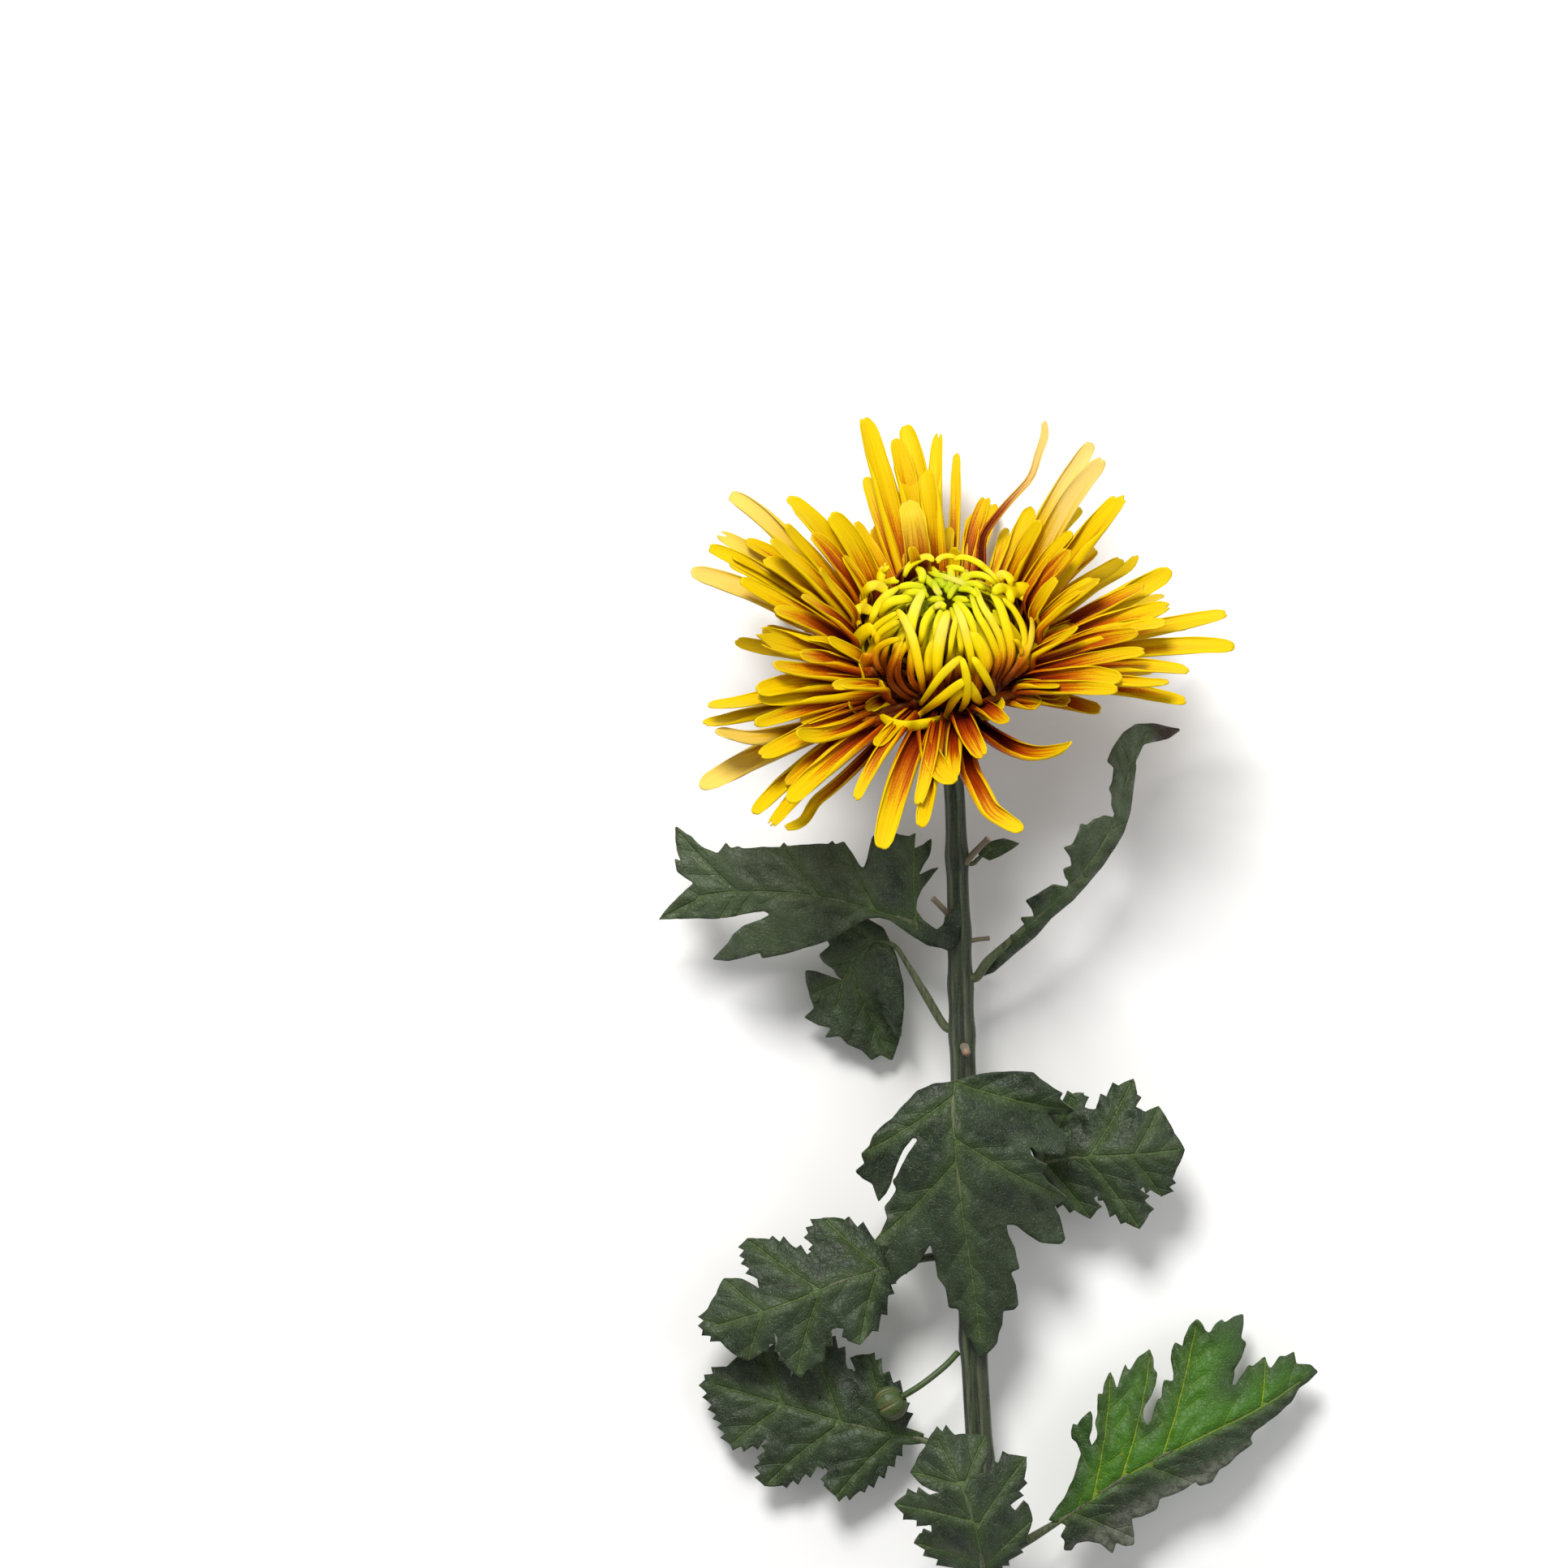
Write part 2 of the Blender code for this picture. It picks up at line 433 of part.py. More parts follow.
def outer_path(tip, bend, sway):
    """The path of an outer petal from the core to its tip, clear of the dome and the surface."""
    rise = math.asin(np.dot(tip, AXIS) / np.linalg.norm(tip))
    azimuth = math.atan2(np.dot(tip, BACK), np.dot(tip, ACROSS))
    out = outward(azimuth)
    level = np.interp(math.degrees(rise), (0.0, STEEP_RISE), PETAL_ROOT_HEIGHTS)
    root = bloom_point(PETAL_ROOT_RADIUS, azimuth, level)
    end = FOOT + tip
    third = 0.34 * np.linalg.norm(end - root)
    first = math.radians(float(np.clip(math.degrees(rise) + bend, *ROOT_RISES)))
    last = rise - math.radians(bend) * 1.1
    leaving = root + third * bloom_direction(azimuth, first)
    coming = end - third * bloom_direction(azimuth, last) + sway * np.cross(AXIS, out)
    path = []
    for share, _ in PETAL_STATIONS:
        point = bezier(root, leaving, coming, end, share)
        point[2] = lifted(point[2], PETAL_FLOOR)
        path.append(outside_dome(point))
    for index in range(len(path) - 1):
        middle = 0.5 * (path[index] + path[index + 1])
        shift = outside_dome(middle) - middle
        if index == 0:
            shift = shift * 2.0
        else:
            path[index] = path[index] + shift
        path[index + 1] = path[index + 1] + shift
    return np.array(path), out


def outer_tips():
    """Every outer petal's tip, width and bend: those seen from above, then the hidden ones."""
    rows = []
    for across, along, reach, width, bend in OUTER_TIPS:
        depth = math.sqrt(max(reach * reach - across * across - along * along, 0.0))
        rows.append((np.array((across, along, math.copysign(depth, reach))), width, bend))
    draw = random.Random(11)
    for index in range(UNDER_PETALS):
        turn = UNDER_START + UNDER_SPAN * (index + 0.5) / UNDER_PETALS
        azimuth = math.radians(turn + draw.uniform(-3, 3))
        rise = math.radians(UNDER_RISES[index % 2] + draw.uniform(-4, 4))
        reach = draw.uniform(54.0, 66.0)
        rows.append((bloom_direction(azimuth, rise) * reach, draw.uniform(3.6, 4.8), 10))
    for index in range(MIDDLE_PETALS):
        azimuth = math.radians(360.0 * (index + 0.3) / MIDDLE_PETALS + draw.uniform(-8, 8))
        rise = math.radians(draw.uniform(38, 46))
        rows.append((bloom_direction(azimuth, rise) * draw.uniform(33.0, 39.0), 3.6, -6))
    return rows


def outer_petals(collection, scratch):
    body = turned("outer_petals", OUTER_CORE, OUTER_CORE_ENDS, collection)
    draw = random.Random(5)
    for index, (tip, width, bend) in enumerate(outer_tips()):
        path, out = outer_path(tip, bend, draw.uniform(-3.0, 3.0))
        petal(f"petal_{index}", path, out, width, PETAL_THICKNESS, draw.uniform(-0.3, 0.3), scratch)
    fused(body, scratch)
    return body


def inner_path(share, azimuth, lean, droop):
    """An incurved petal of the dome: it bulges out from the core and bends in over the top."""
    corners = []
    turns = (0.0, 0.0, 0.5 * lean, lean)
    for (r0, h0), (r1, h1), turn in zip(INNER_OUTERMOST, INNER_MIDMOST, turns):
        radius = r0 + (r1 - r0) * share
        height = h0 + (h1 - h0) * share ** 0.7
        corners.append(bloom_point(radius, azimuth + turn, height))
    corners[3] = corners[3] - AXIS * droop
    return np.array([bezier(*corners, t) for t, _ in PETAL_STATIONS])


def inner_petals(collection, scratch):
    body = turned("inner_petals", INNER_CORE, INNER_CORE_ENDS, collection)
    draw = random.Random(23)
    turn = 0.0
    for share, count in INNER_RINGS:
        turn += GOLDEN_ANGLE
        for index in range(count):
            azimuth = turn + 2 * math.pi * (index + draw.uniform(-0.2, 0.2)) / count
            path = inner_path(share, azimuth, draw.uniform(-0.45, 0.45), draw.uniform(-0.5, 2.0))
            out = outward(azimuth)
            width = draw.uniform(3.2, 4.0) * (1.0 - 0.35 * share)
            petal("inner", path, out, width, INNER_THICKNESS, draw.uniform(-0.25, 0.25), scratch)
    fused(body, scratch)
    return body


def calyx(collection, scratch):
    """The green cup under the bloom, with its overlapping bracts."""
    body = turned("calyx", CALYX_PROFILE, (CALYX_BOTTOM, CALYX_FLOOR), collection)
    for index in range(BRACTS):
        azimuth = 2 * math.pi * (index + 0.5) / BRACTS
        side = outward(azimuth + math.pi / 2)
        out = outward(azimuth)
        rings = []
        for radius, height, width in BRACT_STATIONS:
            point = bloom_point(radius, azimuth, height)
            rings.append((point + side * width / 2, point + out * BRACT_OUTER,
                          point - side * width / 2, point - out * BRACT_INNER))
        loft("bract", rings, scratch)
    fused(body, scratch)
    return body


def stem_centre(along):
    """The stem's centre and radius at a distance along the object, measured from the foot."""
    places = [-point[1] for point in STEM_PATH]
    centre = np.array((np.interp(-along, places, [p[0] for p in STEM_PATH]), along,
                       np.interp(-along, places, [p[2] for p in STEM_PATH])))
    return centre, float(np.interp(-along, places, STEM_RADII))


def stem_radius(centre, plain):
    """The stem's radius at a point of its middle line, with the swelling of a near leaf joint."""
    swelling = sum(math.exp(-((centre[1] - place) / SWELLING_LENGTH) ** 2) for place in NODE_PLACES)
    return plain + NODE_SWELLING * min(swelling, 1.0)


def stem(collection, scratch):
    """The ribbed stem, swollen at its leaf joints, with the cut stubs of side shoots."""
    centres = spline(STEM_PATH, STEM_STATIONS)
    radii = spline([(r, 0.0, 0.0) for r in STEM_RADII], STEM_STATIONS)[:, 0]
    directions = [unit(way) for way in np.gradient(centres, axis=0)]
    directions[0] = -AXIS
    directions[-1] = np.array((0.0, -1.0, 0.0))
    rings = []
    for centre, along, plain in zip(centres, directions, radii):
        right, up = crosswise(along)
        radius = stem_radius(centre, plain)
        ring = []
        for point in range(2 * STEM_RIDGES):
            angle = math.pi * (point + 0.5) / STEM_RIDGES
            reach = radius * (1.0 + RIDGE_DEPTH * (-1) ** point)
            ring.append(on_surface(centre) + (right * math.cos(angle) + up * math.sin(angle)) * reach)
        rings.append(ring)
    body = loft("stem", rings, collection)
    for along, direction, length, radius in STUBS:
        centre, around = stem_centre(along)
        start = on_surface(centre)
        end = start + unit(np.array(direction)) * (around + length)
        path = [start, 0.45 * start + 0.55 * end, end]
        tube("stub", path, (1.3 * radius, 1.1 * radius, radius), 6, scratch)
    fused(body, scratch)
    return body


def nearest_on(path, point):
    """How far along a path its nearest place to a point lies, that place, and the signed distance."""
    best = None
    for index in range(len(path) - 1):
        start, end = path[index], path[index + 1]
        line = end[:2] - start[:2]
        t = float(np.clip(np.dot(point - start[:2], line) / np.dot(line, line), 0.0, 1.0))
        place = start + (end - start) * t
        offset = point - place[:2]
        distance = float(np.linalg.norm(offset))
        if best is None or distance < best[0]:
            sign = 1.0 if line[0] * offset[1] - line[1] * offset[0] >= 0.0 else -1.0
            best = (distance, (index + t) / (len(path) - 1), place, sign)
    distance, share, place, sign = best
    return share, place, sign * distance


def leaf_height(leaf, point, rib):
    """The height of a leaf's blade: the midrib's height, the fold beside it and the edge's waves."""
    share, place, offset = nearest_on(rib, point)
    left, right = leaf["fold"]
    slope = left if offset > 0.0 else right
    size = abs(offset)
    wave = leaf["wave"] * math.sin(share * 17.0 + (1.2 if offset > 0.0 else 3.4)) * (size / 12.0) ** 2
    return lifted(place[2] + slope * size + leaf["curl"] * size * size + wave, LEAF_FLOOR, 2.0)


def lobed_outline(leaf):
    """The outline of a lobed leaf round its midrib, for a leaf that has no outline of its own."""
    rib = spline(leaf["rib"], RIB_POINTS)
    draw = random.Random(leaf["seed"])
    sides = []
    for sign in (1.0, -1.0):
        points = []
        for share, width in LEAF_SIDE:
            shift = draw.uniform(-0.012, 0.012) if 0.0 < share < 1.0 else 0.0
            place = (share + shift) * (len(rib) - 1)
            index = min(int(place), len(rib) - 2)
            t = min(place - index, 1.0)
            centre = rib[index] + (rib[index + 1] - rib[index]) * t
            line = unit((rib[index + 1] - rib[index])[:2])
            normal = np.array((-line[1], line[0])) * sign
            reach = width * leaf["width"] * draw.uniform(0.92, 1.08)
            forward = line * 0.16 * reach
            points.append(centre[:2] + normal * reach + forward * (width > 0.4))
        sides.append(points)
    return sides[0] + list(reversed(sides[1]))[1:]


def leaf_blade(name, leaf, collection):
    """A thin lobed blade: its outline in plan, filled with triangles, raised and given thickness."""
    outline = [np.array(point, dtype=float) for point in leaf.get("outline") or lobed_outline(leaf)]
    rib = spline(leaf["rib"], RIB_POINTS)
    corners = [tuple(point) for point in outline]
    edges = [(i, (i + 1) % len(corners)) for i in range(len(corners))]
    low = np.min(outline, axis=0)
    high = np.max(outline, axis=0)
    inner = [tuple(point[:2]) for point in rib[5:-3:6]]
    for column, x in enumerate(np.arange(low[0], high[0], LEAF_GRID)):
        for y in np.arange(low[1] + LEAF_GRID * 0.5 * (column % 2), high[1], LEAF_GRID):
            apart = [math.dist((x, y), corner) for corner in corners + inner]
            if min(apart) > 0.42 * LEAF_GRID:
                inner.append((x, y))
    found = delaunay_2d_cdt(corners + inner, edges, [], 1, 1e-4)
    shape = bmesh.new()
    vertices = []
    for point in found[0]:
        flat = np.array(point)
        height = leaf_height(leaf, flat, rib)
        vertices.append(shape.verts.new(on_surface((flat[0], flat[1], height)) * MM))
    for face in found[2]:
        shape.faces.new([vertices[index] for index in face])
    loose = [vertex for vertex in shape.verts if not vertex.link_faces]
    bmesh.ops.delete(shape, geom=loose, context="VERTS")
    blade = new_object(name, mesh_from_bmesh(name, shape), collection)
    thick = blade.modifiers.new("thickness", "SOLIDIFY")
    thick.thickness = LEAF_THICKNESS * MM
    thick.offset = 0.0
    graph = bpy.context.evaluated_depsgraph_get()
    mesh = bpy.data.meshes.new_from_object(blade.evaluated_get(graph))
    blade.modifiers.clear()
    blade.data = mesh
    return blade


def leaf_rib(leaf, scratch):
    """The leaf stalk, which goes on as the midrib under the blade."""
    rib = spline(leaf["rib"], RIB_POINTS)
    under = [point - np.array((0.0, 0.0, RIB_DEPTH)) for point in rib[2:24:5]]
    path = list(leaf["stalk"]) + under
    path = [on_surface(point) for point in spline(path, 3 + len(path))]
    radii = np.linspace(leaf["thick"], (1.0 - RIB_TAPER) * leaf["thick"], len(path))
    return tube("rib", path, radii, RIB_SIDES, scratch)


def leaf_body(name, leaf, collection, scratch):
    body = leaf_blade(name, leaf, collection)
    leaf_rib(leaf, scratch)
    fused(body, scratch)
    return body


def bud(collection, scratch):
    """A small side bud on its stalk."""
    ball = bmesh.new()
    bmesh.ops.create_uvsphere(ball, u_segments=12, v_segments=8, radius=BUD_RADIUS * MM)
    bmesh.ops.translate(ball, verts=ball.verts, vec=on_surface(BUD_PLACE) * MM)
    body = new_object("bud", mesh_from_bmesh("bud", ball), collection)
    path = [on_surface(point) for point in spline(BUD_STALK, 8)]
    tube("stalk", path, [BUD_STALK_RADIUS] * len(path), 6, scratch)
    fused(body, scratch)
    return body


def build():
    for existing in list(bpy.data.objects):
        bpy.data.objects.remove(existing)
    collection = bpy.data.collections.new(NAME)
    scratch = bpy.data.collections.new("joined")
    for added in (collection, scratch):
        bpy.context.scene.collection.children.link(added)
    yellow = material("outer_petal", (0.83, 0.60, 0.02), 0.5)
    lime = material("inner_petal", (0.55, 0.58, 0.03), 0.5)
    green = material("leaf_green", (0.035, 0.06, 0.03), 0.5)
    stem_green = material("stem_green", (0.06, 0.085, 0.04), 0.55)
    outer_petals(collection, scratch).data.materials.append(yellow)
    inner_petals(collection, scratch).data.materials.append(lime)
    calyx(collection, scratch).data.materials.append(green)
    stem(collection, scratch).data.materials.append(stem_green)
    bud(collection, scratch).data.materials.append(stem_green)
    for name, leaf in LEAVES.items():
        leaf_body(name, leaf, collection, scratch).data.materials.append(green)
    bpy.data.collections.remove(scratch)


build()
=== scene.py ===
"""Looks of a cut spider chrysanthemum that lies on a table: petals, calyx, stem, bud and leaves.

Sizes are in millimetres, from the foot of the bloom: across is +X, along is +Y, up is from the
table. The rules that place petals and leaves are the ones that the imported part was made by.
"""
import math
import random

import bpy
import numpy as np
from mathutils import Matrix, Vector
from mathutils.geometry import delaunay_2d_cdt


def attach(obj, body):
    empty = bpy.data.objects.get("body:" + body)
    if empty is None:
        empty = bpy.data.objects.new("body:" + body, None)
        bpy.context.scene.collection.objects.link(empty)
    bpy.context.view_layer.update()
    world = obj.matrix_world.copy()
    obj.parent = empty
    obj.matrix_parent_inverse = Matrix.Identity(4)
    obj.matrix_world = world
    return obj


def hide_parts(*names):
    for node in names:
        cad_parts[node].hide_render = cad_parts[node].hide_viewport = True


MM = 0.001

# The photograph: its size, the scale at the foot's height and the pixel where the foot is
PHOTO_WIDTH = 1931
PHOTO_HEIGHT = 1932
MM_PER_PIXEL = 0.2
FOOT_PIXEL = (1165.0, 861.0)
CAMERA_DISTANCE = 1400.0
SENSOR_WIDTH = 36.0

# The foot of the bloom above the table, and the way the bloom faces
FOOT = np.array((-11.5, 157.35, 34.0))
AXIS = np.array((-0.03, 0.80, 0.60))
AXIS = AXIS / np.linalg.norm(AXIS)
ACROSS = np.cross((0.0, 0.6, -0.8), AXIS)
ACROSS = ACROSS / np.linalg.norm(ACROSS)
BACK = np.cross(AXIS, ACROSS)

# Stem
STEM_PATH = ((0.28, -7.5, 28.38), (1.4, -15.0, 23.4), (2.6, -22.0, 21.4), (3.3, -38.0, 20.0),
             (5.0, -92.0, 17.4), (7.0, -148.0, 14.8), (11.0, -214.0, 11.7), (16.0, -290.0, 8.1),
             (21.0, -385.0, 3.62))
STEM_RADII = (2.5, 2.4, 2.4, 2.5, 3.0, 3.1, 3.2, 3.3, 3.5)
STEM_RIDGES = 7
RIDGE_DEPTH = 0.10
NODE_SWELLING = 0.36
SWELLING_LENGTH = 3.5
NODE_PLACES = (-39.0, -58.0, -71.0, -83.0, -101.0, -120.0, -139.0, -160.0, -190.0, -214.0,
               -245.0, -275.0, -305.0, -335.0, -362.0)
STEM_STATIONS = 300
STEM_SIDES = 36

# Cut side shoots: place along the stem, direction, length outside the stem, radius
STUBS = ((-43.0, (0.75, 0.85, 0.45), 9.5, 0.75),
         (-57.0, (-0.75, 0.85, 0.35), 8.0, 0.7),
         (-86.0, (0.1, -0.25, 1.0), 4.0, 1.0),
         (-61.0, (0.9, 0.2, 0.2), 5.0, 0.55),
         (-305.0, (-0.8, 0.5, 0.3), 2.2, 0.9),
         (-335.0, (0.8, 0.5, 0.3), 2.0, 0.9))

# Side bud
BUD_PLACE = (-13.2, -175.4, 17.5)
BUD_RADIUS = 3.8
BUD_STALK_RADIUS = 0.8
BUD_STALK = ((3.7, -163.0, 14.8), (0.0, -166.5, 17.0), (-6.0, -171.0, 18.5), (-12.5, -175.0, 17.5))

# Foot of the bloom: profiles as (radius, height) along the bloom's axis
CALYX_PROFILE = ((3.4, -9.0), (6.8, -7.0), (9.4, -3.2), (10.2, 0.3), (9.3, 0.3), (7.7, -1.9))
CALYX_ENDS = (-9.0, -2.85)
OUTER_CORE = ((7.3, -1.6), (9.0, 0.7), (12.0, 2.2), (12.0, 4.6), (9.4, 6.0))
OUTER_CORE_ENDS = (-2.5, 6.0)
INNER_CORE = ((6.2, 6.3), (9.5, 10.5), (10.6, 15.0), (9.0, 20.0), (4.6, 23.0))
INNER_CORE_ENDS = (6.3, 24.0)

# The dome of inner petals: radius against height, which the outer petals stay outside
DOME_HEIGHTS = (5.0, 6.6, 8.0, 10.1, 12.8, 15.8, 20.0, 23.7, 27.8, 32.0, 34.0)
DOME_RADII = (6.0, 13.7, 16.9, 19.5, 21.3, 22.1, 22.0, 20.7, 18.1, 14.0, 0.0)
DOME_CLEARANCE = 1.2

# Petals
PETAL_ROOT_RADIUS = 5.0
PETAL_ROOT_HEIGHTS = (2.3, 4.7)
STEEP_RISE = 55.0
ROOT_RISES = (7.0, 28.0)
PETAL_FLOOR = 0.3
FLOOR_SOFTNESS = 5.0
GOLDEN_ANGLE = math.radians(137.508)
ROWS = 30
COLUMNS = 9
PATH_POINTS = 48
SHARES = np.linspace(0.0, 1.0, PATH_POINTS)
SKIN = 0.42
WIDTH_PLACES = (0.0, 0.12, 0.3, 0.5, 0.7, 0.85, 0.95, 1.0)
WIDTH_SHARES = (0.45, 0.66, 0.90, 1.0, 1.0, 0.92, 0.78, 0.52)
DOME_SHARES = (0.50, 0.68, 0.92, 1.0, 0.96, 0.86, 0.70, 0.42)
OPENING_PLACES = (0.0, 0.35, 0.75, 1.0)

# Outer petals that show from above: where the tip lies across and along from the foot, how far
# it reaches from the foot (below the foot when negative), width, and how much it bends back
OUTER_TIPS = (
    (-52.9, 50.3, 73.5, 4.4, 14), (-55.8, 40.5, 70.0, 4.0, 12), (-58.1, 36.9, 70.0, 4.0, 16),
    (-62.8, 30.0, 71.5, 4.6, 14), (-50.7, 28.2, 61.0, 4.2, 12), (-43.6, 37.8, 61.0, 4.2, 14),
    (-44.7, 33.8, 58.5, 4.4, 12), (-40.2, 41.6, 60.0, 3.4, 10), (-38.9, 49.0, 64.0, 4.2, 14),
    (-28.4, 45.2, 54.5, 4.2, 12), (-25.5, 34.7, 44.5, 3.4, 8), (-32.2, 30.9, 49.0, 3.4, 6),
    (-19.9, 70.0, -73.5, 5.0, 8), (-9.6, 68.4, -71.0, 4.6, 10), (-11.4, 59.7, -61.5, 4.6, 10),
    (-1.2, 66.6, -69.0, 3.6, 4), (3.3, 61.7, -65.0, 3.2, 12), (-9.4, 49.0, 50.5, 6.0, 16),
    (-4.7, 56.6, -57.0, 5.0, 10), (-19.5, 55.2, -59.5, 3.6, 12), (1.5, 42.7, -44.0, 3.4, 8),
    (-22.1, 43.6, -49.5, 3.4, 12), (24.6, 69.0, -73.6, 3.0, 4), (7.2, 46.0, -47.5, 4.2, 6),
    (15.4, 42.9, -47.0, 3.2, 10), (21.7, 48.0, -53.5, 4.2, 6), (23.4, 43.4, 50.0, 4.0, 8),
    (25.6, 43.4, -51.0, 3.6, 10), (36.7, 63.5, -74.0, 4.6, 6), (38.4, 58.4, 71.0, 5.0, 10),
    (30.9, 40.5, 52.0, 4.2, 12), (43.3, 49.4, 67.0, 6.2, 8), (47.9, 36.1, -61.5, 3.4, -6),
    (54.9, 31.0, 64.5, 5.4, 6), (54.7, 26.2, -62.0, 3.6, 8), (35.8, 29.1, 50.0, 4.0, 12),
    (37.5, 27.8, 52.0, 4.4, 10), (26.1, 29.1, 43.0, 3.2, -8), (54.2, 21.3, 62.5, 6.0, 14),
    (68.5, 20.3, 72.5, 5.0, 10), (52.7, 17.9, 62.0, 5.0, 12), (32.1, 16.0, 44.0, 3.6, 8),
    (69.7, 12.6, 74.0, 4.6, 16), (57.3, 6.3, 68.0, 5.0, 12), (52.5, 2.4, 66.0, 4.2, 10),
    (56.9, -1.5, 67.0, 3.6, 14), (46.9, 10.9, 60.0, 3.4, 8), (41.6, 3.6, 55.0, 4.6, 16),
    (26.8, 1.9, 40.0, 3.6, 12), (40.1, 1.7, 56.0, 3.6, 8), (20.3, 8.0, 31.0, 3.4, -24),
    (29.7, -13.4, 58.0, 4.6, -28), (16.6, -32.5, 64.0, 5.0, 22), (1.4, -21.1, 52.0, 5.0, 24),
    (0.9, -19.2, 47.0, 4.0, 26), (13.0, -2.7, 28.0, 3.4, 20), (-47.1, 14.2, 60.0, 5.0, 8),
    (-46.5, 0.8, 62.0, 4.2, 14), (-46.2, -1.0, 60.0, 5.0, 10), (-58.3, -3.2, 70.0, 4.6, 12),
    (-59.2, -7.2, 70.0, 4.6, 6), (-56.0, -8.2, 68.0, 5.0, -14), (-47.1, -7.2, 63.0, 3.6, 12),
    (-37.5, -9.9, 56.0, 4.2, 14), (-60.1, -22.0, 70.0, 6.0, 10), (-45.8, -15.3, 64.0, 5.0, 14),
    (-47.1, -28.2, 67.0, 5.0, 16), (-43.1, -31.4, 66.0, 3.4, 14), (-40.0, -32.7, 64.0, 3.0, -12),
    (-38.7, -25.1, 64.0, 6.0, 14), (-22.6, -24.7, 60.0, 3.6, 18), (-16.8, -37.2, 67.0, 5.4, 20),
    (-7.9, -26.0, 56.0, 3.4, 24), (-7.4, -31.4, 60.0, 4.2, 22), (-18.1, -12.6, 42.0, 3.4, 20),
    (-16.3, -4.8, 36.0, 3.6, -22), (-35.1, 5.3, 52.0, 3.6, -20), (-26.2, 2.1, 44.0, 4.6, 12),
    (-27.9, 2.6, 47.0, 3.4, 8), (-18.6, 10.2, 35.0, 4.2, -26), (-18.8, 16.4, 34.0, 4.0, -30),
    (-29.8, 13.6, 42.0, 3.6, 10), (-33.8, 14.6, 46.0, 3.2, 12))
UNDER_PETALS = 13
UNDER_RISES = (6.0, 22.0)
UNDER_START = 12.0
UNDER_SPAN = 156.0
MIDDLE_PETALS = 14
MIDDLE_FRONT = -0.25

# Rings of the dome: share of the way to its middle, and how many petals
INNER_RINGS = ((0.0, 24), (0.10, 20), (0.22, 17), (0.36, 14), (0.52, 11), (0.68, 8), (0.84, 6))

# Corners of an inner petal's curve as (radius, height), in the outermost and the middle ring
INNER_OUTERMOST = ((6.0, 6.5), (20.0, 4.5), (30.0, 18.0), (13.0, 31.0))
INNER_MIDMOST = ((2.0, 18.0), (3.5, 22.0), (6.0, 31.0), (0.6, 31.0))

# Bracts of the calyx: how many in a row, how long and how far along; and their line and widths
BRACT_ROWS = ((11, 1.0, -0.6), (12, 0.9, 0.0), (10, 0.62, -2.6))
BRACT_LINE = ((5.2, -8.4), (8.4, -6.0), (10.2, -2.6), (10.7, 0.6))
BRACT_SHARES = (0.75, 0.85, 0.95, 1.0, 0.92, 0.72, 0.42, 0.16)
SEPAL_ROWS = ((6, 30.0, 150.0), (6, 24.0, 128.0), (5, 20.0, 100.0))

# More petals that only show between the others, in the same form as the list above
BETWEEN_TIPS = ((-49.2, 38.4, 64.0, 4.2, 12), (-52.4, 34.4, 64.0, 4.0, 12),
                (-12.2, 64.6, -66.5, 5.2, 8), (-9.0, 37.0, 40.0, 3.4, 6),
                (7.8, -14.8, 42.0, 5.0, 26), (13.6, -7.2, 40.0, 4.4, 20),
                (-39.4, -20.8, 58.0, 4.0, 14), (46.0, 15.4, 56.0, 4.0, 10),
                (30.0, 36.0, 50.0, 4.2, 10), (-36.0, 24.0, 52.0, 4.4, 10),
                (-43.0, 6.4, 58.0, 5.0, 10), (-36.0, 9.6, 50.0, 4.6, 8),
                (-42.0, 21.0, 56.0, 4.6, 10), (-33.0, 40.0, 54.0, 4.4, 10),
                (10.6, 50.0, -52.0, 4.4, 8), (48.0, 27.0, 58.0, 4.6, 8))
COMPANION_SHARE = 0.75
COMPANIONS_BEHIND = -12.0
LOOK_UP = 0.75
WIDER = 1.10
SLENDER_SHARES = (1.0, 1.0, 0.86, 0.62, 0.5, 0.55, 0.6, 0.4)

# Places in the list of petals that stand at the dome's edge and are traced with the dome
AT_DOME_EDGE = (50, 75, 76, 79, 80)

# How far out from the foot the red goes, and how much further on the right and in front
RED_REACH = 37.0
RED_MORE_RIGHT = 12.0
RED_MORE_FRONT = 10.0
RED_MOST = 0.70
RED_BETWEEN = 0.14

# Widths in the photograph where they are not those of the list, by place in the list
PETAL_WIDTHS = {0: 4.8, 3: 5.8, 5: 4.8, 6: 5.8, 7: 3.4, 8: 5.2, 9: 5.2, 12: 5.8, 13: 5.4, 14: 5.0,
                16: 2.8, 18: 5.4, 22: 3.4, 31: 6.6, 56: 6.4, 57: 5.2, 58: 5.4, 66: 4.4, 67: 3.8, 68: 2.8,
                69: 5.4, 71: 5.6}

# Where curved petals pass between their root and their tip, in pixels of the photograph
PETAL_WAYS = {22: ((1211, 694), (1209, 662), (1219, 647), (1248, 612), (1274, 586), (1277, 570),
                   (1284, 547), (1291, 533)),
              32: ((1350, 722), (1370, 710), (1390, 700), (1401, 692)),
              47: ((1300, 838), (1340, 835)),
              51: ((1195, 890), (1225, 914), (1262, 931), (1292, 928)),
              52: ((1180, 900), (1190, 955), (1212, 1000)),
              53: ((1138, 905), (1143, 935), (1155, 957)),
              54: ((1175, 895), (1171, 925)),
              61: ((980, 905), (925, 913)),
              63: ((1040, 900), (1010, 908)),
              68: ((1002, 988), (990, 1012))}

